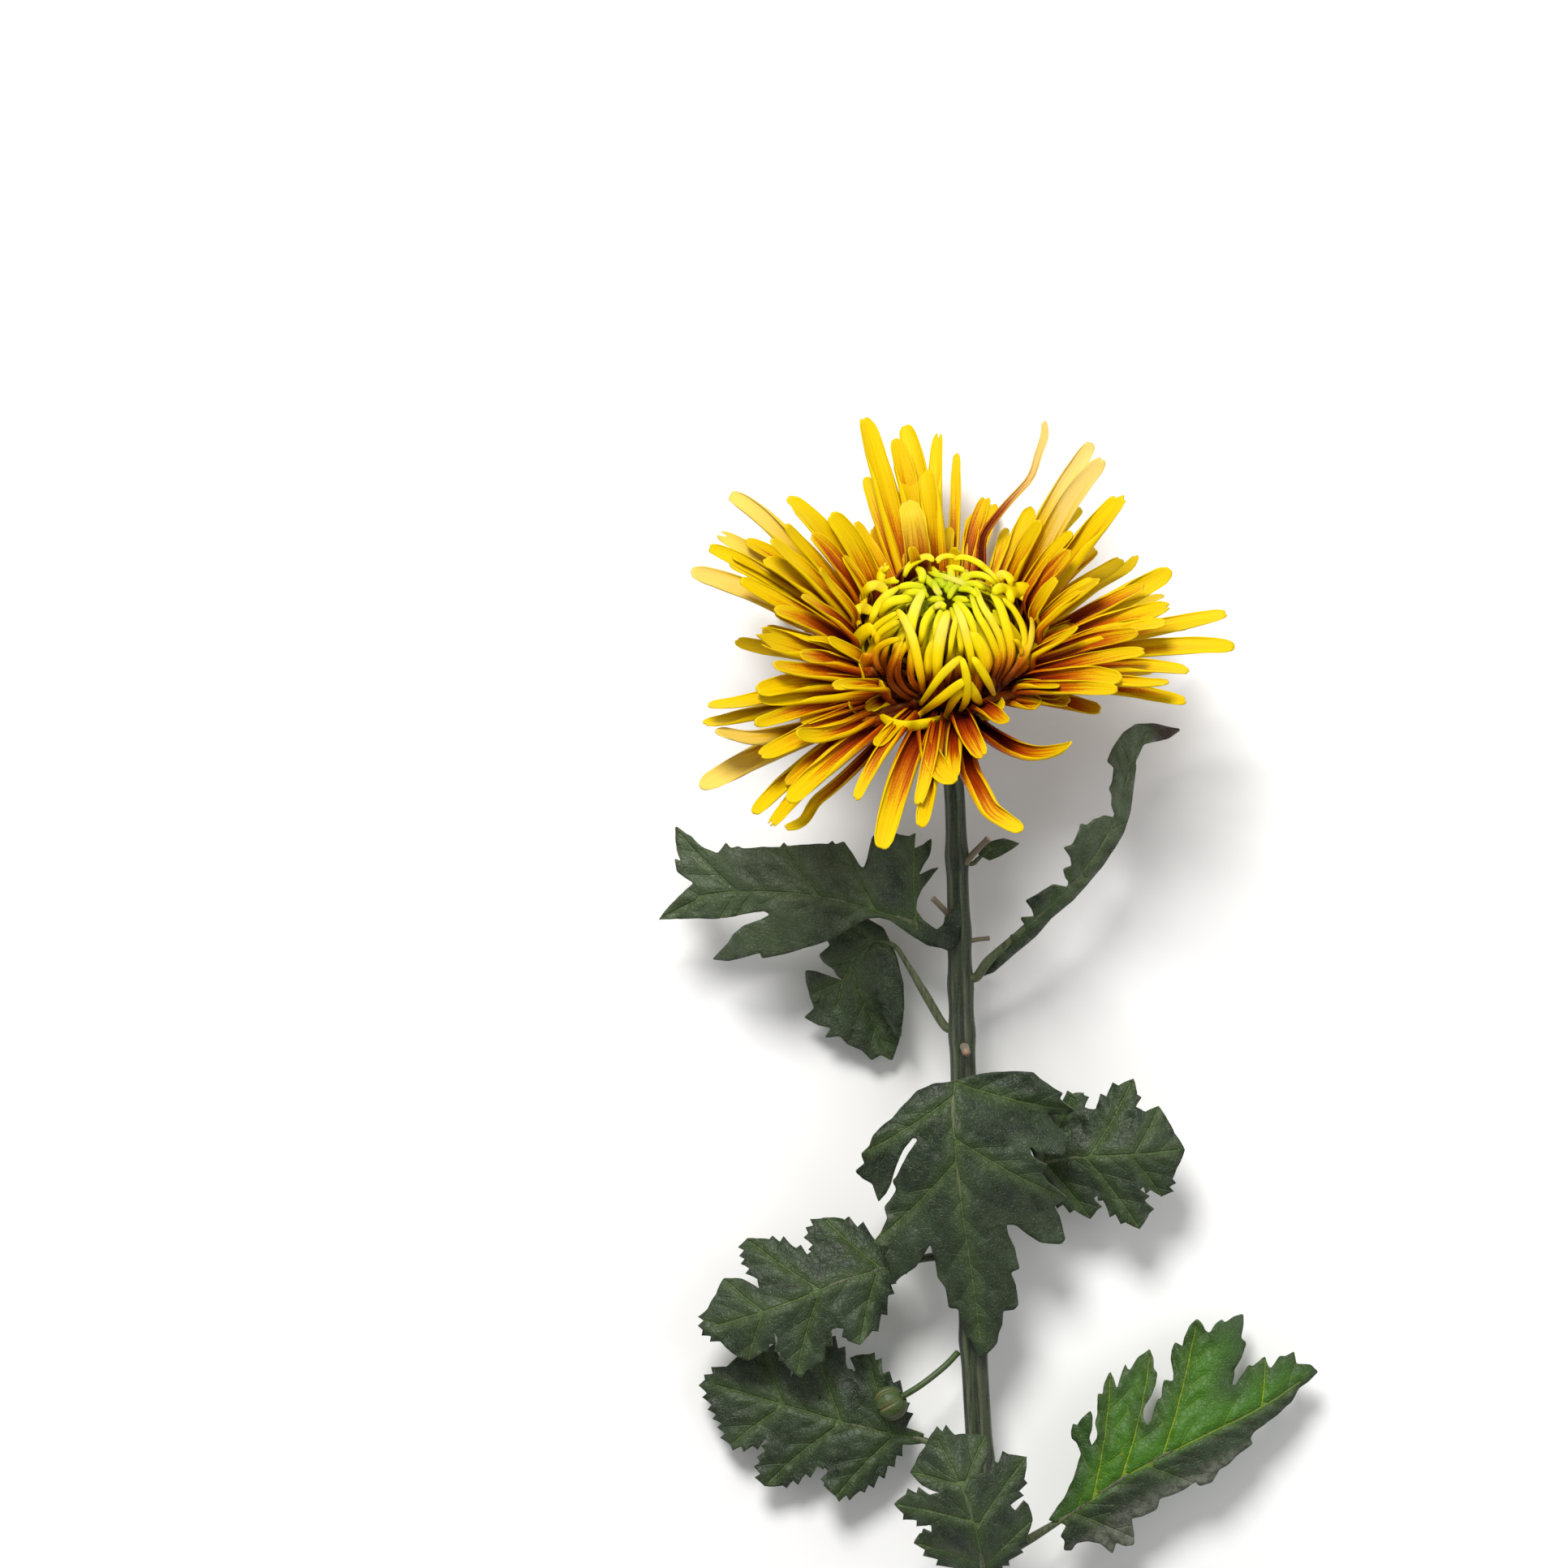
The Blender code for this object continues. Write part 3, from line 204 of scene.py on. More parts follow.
# Petals that stand out, by place in the list: torn ends, ends made pale by a painted highlight, hooks
SPECIAL = {0: dict(pale=0.5), 1: dict(pale=0.35, notches=((0.2, 2.6, 0.35),)), 3: dict(pale=0.55),
           15: dict(notches=((0.1, 1.8, 0.35),), hook=0.0),
           17: dict(pale=0.1, hook=-3.0), 22: dict(red=0.80, pale=0.8, hook=0.0, shares=SLENDER_SHARES),
           28: dict(pale=0.8), 29: dict(pale=0.75), 31: dict(notches=((-0.5, 1.5, 0.4), (0.3, 1.0, 0.3))),
           38: dict(notches=((-0.1, 1.4, 0.3), (0.5, 1.0, 0.2))), 51: dict(hook=2.5),
           56: dict(red=0.66, notches=((-0.45, 6.0, 0.35), (0.4, 5.0, 0.35))), 61: dict(pale=0.45),
           64: dict(pale=0.5), 67: dict(notches=((0.3, 2.0, 0.3), (-0.3, 1.4, 0.25)))}

# Petals of the dome that show from above, traced in pixels of the photograph from root to tip:
# width in pixels, layer over the dome, how much painted highlight in pale cream, and the way
DOME_TRACES = (
    (12, 3, 0.3, ((1135, 858), (1130, 832), (1122, 795), (1114, 773), (1103, 755))),
    (9, 1, 0.0, ((1125, 866), (1109, 858), (1096, 845), (1095, 832), (1100, 816), (1109, 792))),
    (9, 0, 0.0, ((1130, 861), (1114, 853), (1104, 837), (1104, 816), (1111, 802), (1119, 790))),
    (9, 0, 0.0, ((1133, 855), (1120, 840), (1119, 816), (1122, 796))),
    (14, 2, 0.4, ((1117, 808), (1119, 776), (1125, 752), (1137, 728))),
    (15, 2, 0.6, ((1151, 850), (1151, 812), (1156, 782), (1164, 756))),
    (12, 0, 0.0, ((1140, 842), (1141, 812), (1147, 792))),
    (8, 1, 0.1, ((1165, 820), (1168, 792), (1173, 770), (1176, 756))),
    (11, 2, 0.5, ((1193, 834), (1191, 811), (1186, 789), (1180, 766), (1172, 747))),
    (18, 1, 0.0, ((1207, 842), (1210, 818), (1202, 798), (1187, 780))),
    (10, 1, 0.0, ((1215, 845), (1225, 819), (1221, 802), (1212, 782), (1200, 760), (1193, 735))),
    (10, 1, 0.2, ((1222, 842), (1231, 816), (1228, 792), (1218, 770), (1206, 749), (1199, 724))),
    (13, 0, 0.0, ((1224, 846), (1237, 824), (1241, 802), (1236, 776), (1228, 750), (1219, 734))),
    (9, 1, 0.0, ((1240, 836), (1257, 802), (1257, 779), (1247, 757), (1232, 740))),
    (10, 3, 0.2, ((1231, 845), (1247, 827), (1261, 805), (1269, 779), (1270, 749))),
    (11, 2, 0.0, ((1231, 848), (1250, 829), (1270, 807), (1282, 784), (1289, 760), (1284, 741))),
    (12, 1, 0.0, ((1281, 790), (1280, 765), (1274, 750), (1258, 736), (1243, 732))),
    (19, 2, 0.0, ((1284, 756), (1276, 735), (1263, 726), (1249, 729), (1241, 736))),
    (14, 2, 0.0, ((1243, 750), (1241, 733), (1231, 727), (1219, 734))),
    (14, 3, 0.2, ((1246, 728), (1243, 714), (1234, 709), (1228, 717))),
    (10, 3, 0.0, ((1230, 722), (1218, 707), (1202, 694), (1186, 688), (1174, 691))),
    (9, 2, 0.2, ((1184, 690), (1167, 686), (1157, 689), (1153, 695))),
    (11, 3, 0.2, ((1112, 713), (1119, 699), (1130, 691), (1141, 687), (1150, 693))),
    (11, 3, 0.0, ((1133, 724), (1134, 709), (1129, 701))),
    (14, 4, 0.0, ((1083, 722), (1086, 705), (1093, 699))),
    (11, 4, 0.0, ((1079, 723), (1093, 718), (1105, 718))),
    (15, 4, 0.2, ((1063, 754), (1063, 735), (1069, 725), (1080, 723), (1091, 732))),
    (12, 2, 0.1, ((1069, 776), (1077, 754), (1088, 739), (1105, 726))),
    (13, 1, 0.0, ((1080, 762), (1092, 747), (1107, 742), (1122, 741))),
    (9, 2, 0.0, ((1076, 794), (1075, 779), (1085, 769), (1104, 758))),
    (9, 1, 0.0, ((1079, 804), (1080, 786), (1092, 776), (1106, 769))),
    (9, 2, 0.0, ((1088, 836), (1077, 818), (1079, 803), (1090, 795), (1107, 790))),
    (19, 4, 0.0, ((1052, 818), (1053, 797), (1061, 783), (1075, 775))),
    (20, 4, 0.0, ((1076, 836), (1064, 824), (1070, 806))),
    (16, 4, 0.0, ((1070, 834), (1060, 826), (1048, 818))),
    (15, 4, 0.1, ((1057, 772), (1053, 757), (1061, 751), (1073, 757))),
    (9, 3, 0.6, ((1143, 707), (1153, 711), (1172, 717), (1191, 726))),
    (10, 2, 0.0, ((1226, 724), (1210, 712), (1194, 711), (1184, 719))),
    (11, 5, 0.1, ((1131, 870), (1152, 840), (1167, 824), (1180, 813))),
    (12, 6, 0.0, ((1127, 885), (1153, 865), (1172, 850), (1186, 840))),
    (11, 5, 0.0, ((1161, 888), (1169, 869), (1178, 856), (1187, 846))),
    (11, 6, 0.0, ((1180, 880), (1186, 863), (1186, 840), (1180, 814))),
    (13, 5, 0.0, ((1205, 871), (1196, 858), (1186, 842))),
    (11, 5, 0.0, ((1222, 860), (1207, 834), (1193, 813))),
    (6, 3, 0.0, ((1254, 815), (1253, 800), (1245, 790))),
    (9, 3, 0.0, ((1240, 840), (1253, 829), (1266, 820))),
    (9, 2, 0.0, ((1190, 707), (1178, 702), (1165, 700))),
    (9, 2, 0.4, ((1148, 716), (1150, 728), (1157, 739))),
    (8, 2, 0.0, ((1179, 722), (1171, 730), (1165, 742))),
    (9, 3, 0.5, ((1162, 756), (1156, 749), (1146, 753))),
    (10, 1, 0.0, ((1100, 728), (1118, 724), (1138, 727))),
    (10, 1, 0.0, ((1110, 735), (1126, 733), (1142, 738))),
    (9, 1, 0.0, ((1205, 742), (1192, 730), (1176, 729))),
    (9, 1, 0.0, ((1212, 730), (1198, 722), (1182, 724))),
    (9, 1, 0.0, ((1150, 800), (1150, 775), (1158, 752))),
    (10, 1, 0.0, ((1130, 800), (1136, 770), (1150, 748))),
    (10, 1, 0.0, ((1200, 800), (1190, 765), (1174, 742))),
    (9, 0, 0.0, ((1180, 815), (1178, 785), (1168, 752))),
    (10, 1, 0.0, ((1148, 700), (1154, 714), (1161, 728))),
    (10, 1, 0.0, ((1168, 698), (1170, 712), (1168, 729))),
    (10, 1, 0.0, ((1190, 704), (1184, 717), (1174, 731))),
    (10, 1, 0.0, ((1130, 706), (1142, 718), (1155, 732))),
    (9, 0, 0.0, ((1160, 712), (1163, 724), (1166, 736))),
    (9, 0, 0.0, ((1180, 712), (1176, 724), (1169, 736))),
    (9, 1, 0.0, ((1140, 742), (1150, 742), (1160, 741))),
    (9, 1, 0.0, ((1192, 744), (1182, 742), (1170, 741))))

# Petals that leave the dome's foot, traced in the same way: width, layer, where along it the red
# ends, and the way
FOOT_TRACES = (
    (15, 5, -0.4, ((1160, 886), (1140, 893), (1116, 897), (1098, 894), (1082, 884))),
    (15, 3, 0.52, ((1126, 866), (1086, 880), (1042, 877), (1010, 862), (990, 834))),
    (14, 1, 0.62, ((1128, 872), (1090, 872), (1058, 862), (1032, 848))),
    (12, 0, 0.75, ((1120, 862), (1085, 854), (1050, 846), (1022, 842))),
    (14, 1, 0.70, ((1128, 876), (1080, 890), (1030, 893))),
    (12, 4, 0.25, ((1202, 868), (1238, 858), (1272, 853), (1299, 850))))
LAYER_HEIGHT = 0.7
DOME_MIDDLE = 15.0
DOME_APEX = 29.0
DOME_FILL_SHARE = 0.93
DOME_ROOTS = ((0.0, -2.0, 23.0), (-15.0, 1.0, 24.0), (15.0, 0.0, 24.0))
DOME_RED = (5.0, 19.0)

# Leaves
LEAF_THICKNESS = 0.45
LEAF_FLOOR = 1.0
LEAF_GRID = 1.1
RIB_POINTS = 40
STALK_JOINT = 0.4
TOOTH_SPACING = 5.0
TOOTH_HEIGHT = 1.8
EDGE_STEP = 0.5
VEIN_STEP = 1.0
SIDE_VEIN_GAP = 7.0
QUILTING = 0.45
GROOVE = 0.25
STEM_HAIRS = 5000
LEAF_HAIRS = 900
HAIR_RADIUS = 0.035

# How far a leaf's left side is lit from behind, painted as a glow, where along it the tip turns brown, and how
# much painted grey sheen it has; and the same for the rest
LEAF_MARKS = {"leaf_lower_right": (1.0, 2.0, 0.2), "leaf_upper_right": (0.0, 0.84, 0.9),
              "leaf_front": (0.0, 2.0, 0.25), "leaf_hanging_left": (0.0, 2.0, 0.4),
              "leaf_upper_left": (0.0, 2.0, 0.8)}
PLAIN_MARKS = (0.0, 2.0, 0.15)

# A lobed leaf, one side: share of the length and of the width, from the blade's foot to its tip
LEAF_SIDE = ((0.0, 0.06), (0.10, 0.10), (0.15, 0.40), (0.21, 0.74), (0.29, 0.90), (0.36, 0.80),
             (0.39, 0.42), (0.42, 0.28), (0.46, 0.62), (0.52, 0.94), (0.60, 1.0), (0.66, 0.80),
             (0.67, 0.44), (0.70, 0.32), (0.75, 0.54), (0.82, 0.60), (0.88, 0.42), (0.94, 0.24),
             (1.0, 0.0))


# Leaves: stalk and midrib as (across, along, up from the surface), the slopes on the left and
# right of the midrib, the curl and wave of the edge, and an outline in plan or a width
LEAVES = {
    "leaf_upper_left": dict(
        stalk=((-0.3, -60.5, 19.5), (-4.5, -57.0, 22.5)),
        rib=((-7.0, -55.8, 24.5), (-14.0, -53.2, 27.5), (-30.0, -49.0, 30.5), (-48.0, -47.5, 28.5),
             (-64.0, -49.0, 22.5)),
        fold=(-0.16, -0.10), curl=-0.006, wave=0.5, thick=1.25,
        outline=((-4.6, -58.6), (-9.0, -57.6), (-12.0, -55.5), (-17.9, -54.2), (-23.9, -56.9),
                 (-26.5, -60.2), (-35.8, -62.2), (-45.8, -63.8), (-57.1, -64.8), (-53.7, -60.2),
                 (-49.8, -56.9), (-43.1, -53.5), (-55.7, -54.5), (-63.0, -54.5), (-71.0, -54.9),
                 (-65.7, -49.6), (-62.4, -46.3), (-65.0, -44.9), (-66.7, -40.9), (-66.3, -32.3),
                 (-57.1, -37.6), (-54.4, -36.3), (-40.5, -35.6), (-35.8, -36.3), (-30.5, -35.0),
                 (-25.2, -35.6), (-19.9, -40.9), (-18.6, -37.0), (-12.0, -33.6), (-7.3, -33.3),
                 (-9.3, -38.3), (-3.3, -35.0), (-6.0, -42.3), (-1.7, -41.6), (-6.0, -46.3),
                 (-7.3, -48.9), (-6.2, -52.9), (-4.2, -55.5))),
    "leaf_upper_right": dict(
        stalk=((8.2, -69.0, 19.7), (11.0, -65.0, 22.0)),
        rib=((13.5, -62.5, 24.0), (22.0, -54.5, 28.0), (32.0, -45.0, 31.0), (41.5, -31.0, 32.0),
             (45.0, -19.0, 29.0), (50.0, -8.5, 24.0), (58.0, -6.8, 20.0)),
        fold=(0.55, -0.9), curl=0.0, wave=0.0, thick=1.2,
        outline=((11.6, -63.0), (16.2, -58.9), (18.9, -54.1), (20.1, -50.2), (26.9, -46.1),
                 (31.2, -46.6), (29.1, -42.0), (29.3, -36.9), (33.7, -31.3), (39.0, -28.9),
                 (42.4, -29.4), (40.4, -22.1), (41.9, -16.3), (43.6, -11.5), (50.1, -6.1),
                 (54.5, -5.4), (59.8, -7.1), (55.0, -9.6), (49.5, -12.5), (46.8, -24.0),
                 (44.8, -32.8), (38.5, -43.4), (32.7, -48.8), (26.4, -54.6), (13.9, -64.2))),
    "leaf_hanging_left": dict(
        stalk=((0.4, -81.5, 17.0), (-4.5, -73.5, 17.5)),
        rib=((-8.0, -67.5, 18.0), (-13.0, -60.8, 18.2), (-19.5, -61.5, 17.0), (-24.5, -69.0, 14.0),
             (-27.0, -79.0, 9.5)),
        fold=(-0.12, -0.12), curl=-0.006, wave=0.4, thick=1.1,
        outline=((-7.0, -66.4), (-10.0, -60.6), (-12.4, -56.6), (-17.0, -54.8), (-23.0, -57.0),
                 (-26.5, -61.5), (-30.9, -63.6), (-34.4, -67.6), (-26.9, -68.1), (-34.0, -74.0),
                 (-34.6, -79.7), (-29.7, -84.5), (-23.8, -86.6), (-18.1, -90.3), (-12.8, -90.6),
                 (-10.2, -81.7), (-11.6, -74.0), (-14.6, -68.0), (-11.4, -65.4), (-8.8, -68.2))),
    "leaf_front": dict(
        stalk=((4.9, -104.0, 21.2), (4.2, -99.5, 27.0), (3.0, -95.8, 31.0)),
        rib=((2.2, -94.6, 32.4), (2.0, -106.0, 35.2), (4.0, -124.8, 33.0), (7.0, -144.0, 27.0),
             (9.5, -162.0, 20.5)),
        fold=(-0.22, -0.22), curl=-0.004, wave=0.7, thick=1.2,
        outline=((1.7, -93.4), (10.0, -92.0), (18.2, -92.3), (29.3, -97.9), (32.3, -101.9),
                 (30.9, -109.7), (22.9, -112.6), (25.5, -114.9), (30.7, -123.9), (30.2, -133.6),
                 (16.8, -130.0), (18.2, -141.3), (18.2, -151.7), (14.4, -151.7), (13.4, -160.2),
                 (9.7, -163.5), (5.4, -157.9), (4.0, -151.3), (1.2, -150.3), (-2.1, -139.0),
                 (-3.5, -134.7), (-13.4, -145.4), (-17.9, -135.0), (-17.7, -120.1), (-9.2, -113.5),
                 (-6.2, -108.0), (-12.6, -113.6), (-20.5, -112.1), (-15.8, -104.5), (-6.8, -97.0))),
    "leaf_middle_right": dict(
        stalk=((9.8, -120.5, 15.5), (15.0, -118.0, 17.5)),
        rib=((19.0, -116.5, 18.8), (32.0, -114.0, 20.5), (46.0, -113.0, 23.5), (60.0, -112.0, 20.0)),
        fold=(-0.3, -0.35), curl=0.0, wave=0.6, thick=1.1, width=18.0, seed=3),
    "leaf_middle_left": dict(
        stalk=((2.6, -139.5, 14.5), (-3.0, -139.0, 16.5)),
        rib=((-8.0, -140.0, 18.0), (-24.0, -144.0, 23.0), (-42.0, -151.0, 24.0),
             (-60.0, -157.0, 18.0)),
        fold=(-0.15, -0.5), curl=0.0, wave=0.6, thick=1.1, width=18.0, seed=8),
    "leaf_lower_right": dict(
        stalk=((14.6, -214.0, 12.5), (22.0, -209.5, 14.0)),
        rib=((28.0, -205.8, 15.0), (34.1, -201.6, 16.5), (47.2, -192.4, 18.5), (64.2, -183.7, 18.0),
             (79.7, -176.4, 15.0), (92.5, -168.5, 10.5)),
        fold=(-0.14, -0.3), curl=-0.002, wave=0.7, thick=1.2,
        outline=((26.8, -205.0), (29.8, -200.6), (36.0, -186.6), (36.6, -177.6), (41.7, -167.9),
                 (45.5, -166.2), (50.6, -180.8), (52.1, -162.8), (57.9, -160.9), (63.5, -154.8),
                 (69.5, -155.3), (75.3, -154.3), (72.4, -171.6), (80.7, -164.5), (88.0, -163.3),
                 (94.0, -168.2), (87.0, -175.9), (77.3, -183.2), (68.6, -191.4), (63.7, -196.3),
                 (53.8, -201.1), (48.0, -209.8), (42.9, -210.8), (34.6, -212.3), (30.8, -208.2))),
    "leaf_lower_left": dict(
        stalk=((5.4, -190.0, 11.6), (0.0, -187.0, 11.6)),
        rib=((-5.0, -185.0, 11.5), (-20.0, -182.0, 12.5), (-38.0, -177.0, 11.0),
             (-60.0, -171.0, 6.5)),
        fold=(-0.12, -0.08), curl=0.0, wave=0.6, thick=1.1, width=21.0, seed=14),
    "leaf_top": dict(
        stalk=((12.0, -229.0, 14.9), (11.0, -224.0, 22.0)),
        rib=((10.0, -219.0, 29.0), (8.0, -207.0, 38.0), (4.0, -194.0, 42.0), (-3.0, -180.0, 38.0)),
        fold=(-0.5, -0.5), curl=0.0, wave=0.6, thick=1.1, width=17.0, seed=33),
    "leaf_low_right": dict(
        stalk=((17.2, -245.0, 9.5), (24.0, -242.5, 10.5)),
        rib=((30.0, -242.0, 12.5), (46.0, -242.0, 17.0), (62.0, -247.0, 17.0),
             (79.0, -257.0, 11.0)),
        fold=(-0.2, -0.12), curl=0.0, wave=0.6, thick=1.1, width=20.0, seed=21),
    "leaf_low_left": dict(
        stalk=((11.2, -275.2, 8.2), (4.0, -273.0, 7.0)),
        rib=((-2.0, -273.0, 6.4), (-16.0, -276.0, 5.4), (-32.0, -284.0, 4.2),
             (-48.0, -297.0, 2.6)),
        fold=(0.0, 0.08), curl=0.0, wave=0.5, thick=1.0, width=18.0, seed=27),
    "bract_leaf": dict(
        stalk=((7.3, -40.8, 19.3), (8.4, -39.8, 19.4)),
        rib=((9.0, -39.2, 19.5), (12.5, -37.2, 19.8), (18.0, -36.0, 19.4)),
        fold=(0.2, -0.2), curl=0.0, wave=0.0, thick=0.6,
        outline=((8.6, -38.4), (11.4, -35.4), (14.8, -34.6), (18.8, -35.8), (15.0, -38.4),
                 (11.4, -40.0))),
}

# Edges of the leaves with all their teeth, as traced in pixels of the photograph
LEAF_EDGES = {
    "leaf_upper_left": (
        (1172, 1174), (1163, 1170), (1144, 1166), (1127, 1156), (1112, 1145), (1098, 1135),
        (1084, 1131), (1068, 1133), (1054, 1140), (1039, 1150), (1029, 1156), (1015, 1162),
        (998, 1167), (966, 1177), (938, 1182), (937, 1175), (898, 1186), (877, 1184), (887, 1173),
        (898, 1162), (903, 1152), (917, 1141), (939, 1133), (949, 1127), (942, 1123), (922, 1126),
        (900, 1131), (881, 1133), (856, 1133), (820, 1134), (810, 1135), (822, 1119), (838, 1103),
        (854, 1089), (847, 1085), (833, 1075), (830, 1058), (838, 1062), (833, 1049), (831, 1036),
        (831, 1018), (844, 1028), (851, 1031), (857, 1038), (866, 1045), (884, 1052), (889, 1046),
        (894, 1038), (900, 1046), (911, 1043), (914, 1046), (942, 1044), (962, 1044), (966, 1037),
        (970, 1043), (988, 1041), (1011, 1040), (1022, 1040), (1026, 1035), (1029, 1041),
        (1040, 1037), (1050, 1051), (1060, 1068), (1064, 1071), (1068, 1062), (1071, 1049),
        (1075, 1032), (1088, 1021), (1106, 1028), (1122, 1031), (1129, 1026), (1128, 1046),
        (1139, 1041), (1150, 1033), (1148, 1050), (1146, 1057), (1139, 1066), (1133, 1079),
        (1148, 1072), (1159, 1069), (1150, 1080), (1143, 1089), (1137, 1097), (1131, 1109),
        (1130, 1122), (1139, 1135), (1156, 1147), (1164, 1140), (1166, 1129), (1174, 1122),
        (1183, 1114), (1186, 1130), (1184, 1152), (1179, 1168)),
    "leaf_upper_right": (
        (1204, 1209), (1227, 1200), (1251, 1178), (1278, 1155), (1298, 1131), (1323, 1110),
        (1341, 1090), (1360, 1067), (1376, 1043), (1386, 1026), (1394, 1001), (1397, 981),
        (1402, 944), (1401, 939), (1412, 917), (1445, 909), (1460, 898), (1425, 891), (1404, 891),
        (1386, 902), (1372, 922), (1365, 938), (1374, 945), (1371, 964), (1367, 971), (1371, 980),
        (1370, 992), (1376, 1008), (1360, 1004), (1355, 1008), (1348, 1009), (1339, 1017),
        (1331, 1014), (1330, 1022), (1321, 1041), (1310, 1044), (1319, 1056), (1321, 1067),
        (1310, 1071), (1314, 1083), (1328, 1096), (1315, 1093), (1298, 1090), (1286, 1097),
        (1279, 1102), (1264, 1110), (1272, 1120), (1276, 1130), (1258, 1131), (1264, 1140),
        (1272, 1145), (1245, 1154), (1250, 1162), (1241, 1168), (1228, 1184), (1212, 1198),
        (1203, 1203)),
    "leaf_hanging_left": (
        (1100, 1165), (1107, 1183), (1115, 1214), (1116, 1244), (1113, 1273), (1110, 1292),
        (1102, 1314), (1088, 1306), (1076, 1313), (1064, 1300), (1046, 1293), (1036, 1282),
        (1017, 1284), (1025, 1272), (1009, 1268), (991, 1259), (1004, 1247), (999, 1234),
        (994, 1214), (993, 1199), (1006, 1200), (1020, 1205), (1044, 1214), (1032, 1205),
        (1029, 1198), (1015, 1188), (1010, 1179), (1024, 1167), (1019, 1161), (1037, 1151),
        (1051, 1141), (1071, 1134), (1090, 1145)),
    "leaf_front": (
        (1171, 1333), (1185, 1330), (1202, 1325), (1223, 1322), (1250, 1321), (1274, 1322),
        (1282, 1330), (1299, 1342), (1312, 1349), (1307, 1355), (1316, 1363), (1327, 1371),
        (1318, 1377), (1293, 1375), (1301, 1387), (1313, 1397), (1319, 1410), (1313, 1415),
        (1315, 1421), (1310, 1425), (1297, 1425), (1280, 1421), (1270, 1412), (1271, 1424),
        (1280, 1431), (1292, 1436), (1285, 1447), (1293, 1459), (1319, 1480), (1301, 1490),
        (1309, 1505), (1316, 1532), (1310, 1538), (1284, 1535), (1265, 1522), (1253, 1512),
        (1241, 1511), (1244, 1524), (1252, 1540), (1254, 1552), (1258, 1567), (1247, 1571),
        (1254, 1588), (1257, 1613), (1252, 1619), (1238, 1620), (1237, 1639), (1233, 1649),
        (1231, 1662), (1221, 1673), (1210, 1681), (1204, 1670), (1200, 1658), (1193, 1655),
        (1187, 1634), (1182, 1617), (1171, 1616), (1166, 1590), (1156, 1577), (1154, 1558),
        (1147, 1535), (1138, 1550), (1130, 1564), (1111, 1577), (1102, 1588), (1093, 1586),
        (1098, 1575), (1094, 1562), (1091, 1552), (1097, 1541), (1084, 1539), (1076, 1535),
        (1086, 1522), (1094, 1503), (1090, 1490), (1097, 1482), (1105, 1467), (1100, 1456),
        (1105, 1452), (1111, 1437), (1121, 1419), (1131, 1404), (1125, 1402), (1113, 1418),
        (1105, 1436), (1099, 1458), (1092, 1474), (1083, 1484), (1076, 1461), (1064, 1455),
        (1054, 1446), (1066, 1435), (1061, 1423), (1071, 1414), (1076, 1399), (1084, 1391),
        (1100, 1378), (1107, 1370), (1115, 1361), (1132, 1344), (1151, 1336)),
    "leaf_lower_right": (
        (1296, 1885), (1316, 1856), (1326, 1835), (1337, 1802), (1331, 1787), (1325, 1783),
        (1324, 1774), (1327, 1763), (1332, 1767), (1336, 1758), (1348, 1747), (1351, 1756),
        (1350, 1770), (1347, 1782), (1350, 1792), (1356, 1782), (1357, 1774), (1354, 1762),
        (1357, 1752), (1357, 1735), (1358, 1725), (1364, 1728), (1365, 1716), (1373, 1699),
        (1378, 1709), (1380, 1718), (1382, 1720), (1386, 1707), (1393, 1690), (1395, 1697),
        (1398, 1699), (1408, 1685), (1424, 1673), (1428, 1684), (1428, 1697), (1433, 1702),
        (1431, 1716), (1425, 1728), (1415, 1745), (1413, 1757), (1418, 1764), (1424, 1759),
        (1428, 1745), (1432, 1733), (1437, 1733), (1439, 1719), (1441, 1710), (1452, 1712),
        (1453, 1702), (1450, 1685), (1451, 1674), (1455, 1664), (1465, 1670), (1467, 1657),
        (1473, 1643), (1482, 1634), (1489, 1641), (1493, 1650), (1498, 1652), (1505, 1641),
        (1514, 1636), (1517, 1641), (1529, 1634), (1543, 1632), (1542, 1645), (1538, 1660),
        (1545, 1665), (1538, 1683), (1528, 1699), (1529, 1704), (1525, 1716), (1529, 1718),
        (1535, 1709), (1547, 1692), (1552, 1695), (1568, 1682), (1572, 1695), (1575, 1697),
        (1588, 1682), (1593, 1683), (1605, 1677), (1608, 1692), (1628, 1694), (1630, 1698),
        (1636, 1702), (1623, 1714), (1610, 1723), (1601, 1739), (1581, 1756), (1553, 1775),
        (1548, 1784), (1552, 1790), (1531, 1805), (1520, 1816), (1509, 1822), (1501, 1838),
        (1485, 1843), (1480, 1837), (1463, 1849), (1435, 1858), (1432, 1871), (1424, 1876),
        (1412, 1881), (1400, 1882), (1404, 1904), (1404, 1917), (1394, 1919), (1382, 1914),
        (1377, 1929), (1361, 1915), (1346, 1912), (1331, 1915), (1326, 1924), (1316, 1924),
        (1317, 1910), (1311, 1906), (1319, 1892), (1310, 1888)),
}

# Display colours from 0 to 255
OUTER_STOPS = ((0.0, (70, 16, 12)), (0.18, (104, 29, 12)), (0.36, (146, 54, 12)),
               (0.50, (174, 88, 7)), (0.60, (194, 132, 4)), (0.72, (207, 168, 2)),
               (1.0, (213, 181, 4)))
INNER_STOPS = ((0.0, (98, 28, 10)), (0.16, (142, 56, 10)), (0.34, (186, 106, 6)),
               (0.52, (208, 160, 4)), (0.75, (222, 190, 6)), (1.0, (222, 198, 14)))
# How dark the painted shade at the bloom's foot gets, where the petals crowd
FOOT_PAINTED_SHADE = 0.22
LIME = (190, 200, 14)
APEX_GREEN = (122, 160, 12)
PAINTED_HIGHLIGHT_CREAM = (228, 196, 120)
# Painted glow of a leaf's side that is lit from behind
LIT_GREEN = (56, 100, 6)
LIT_DARK = (34, 62, 12)
LIT_VEIN = (112, 140, 14)
PAINTED_SHEEN_GREY = (74, 86, 60)
FOLD_GREY = (104, 106, 94)
HAIR_GREY = (130, 142, 124)
BURNT_BROWN = (58, 44, 34)
STEM_DARK = (22, 29, 17)
STEM_LIGHT = (48, 58, 33)
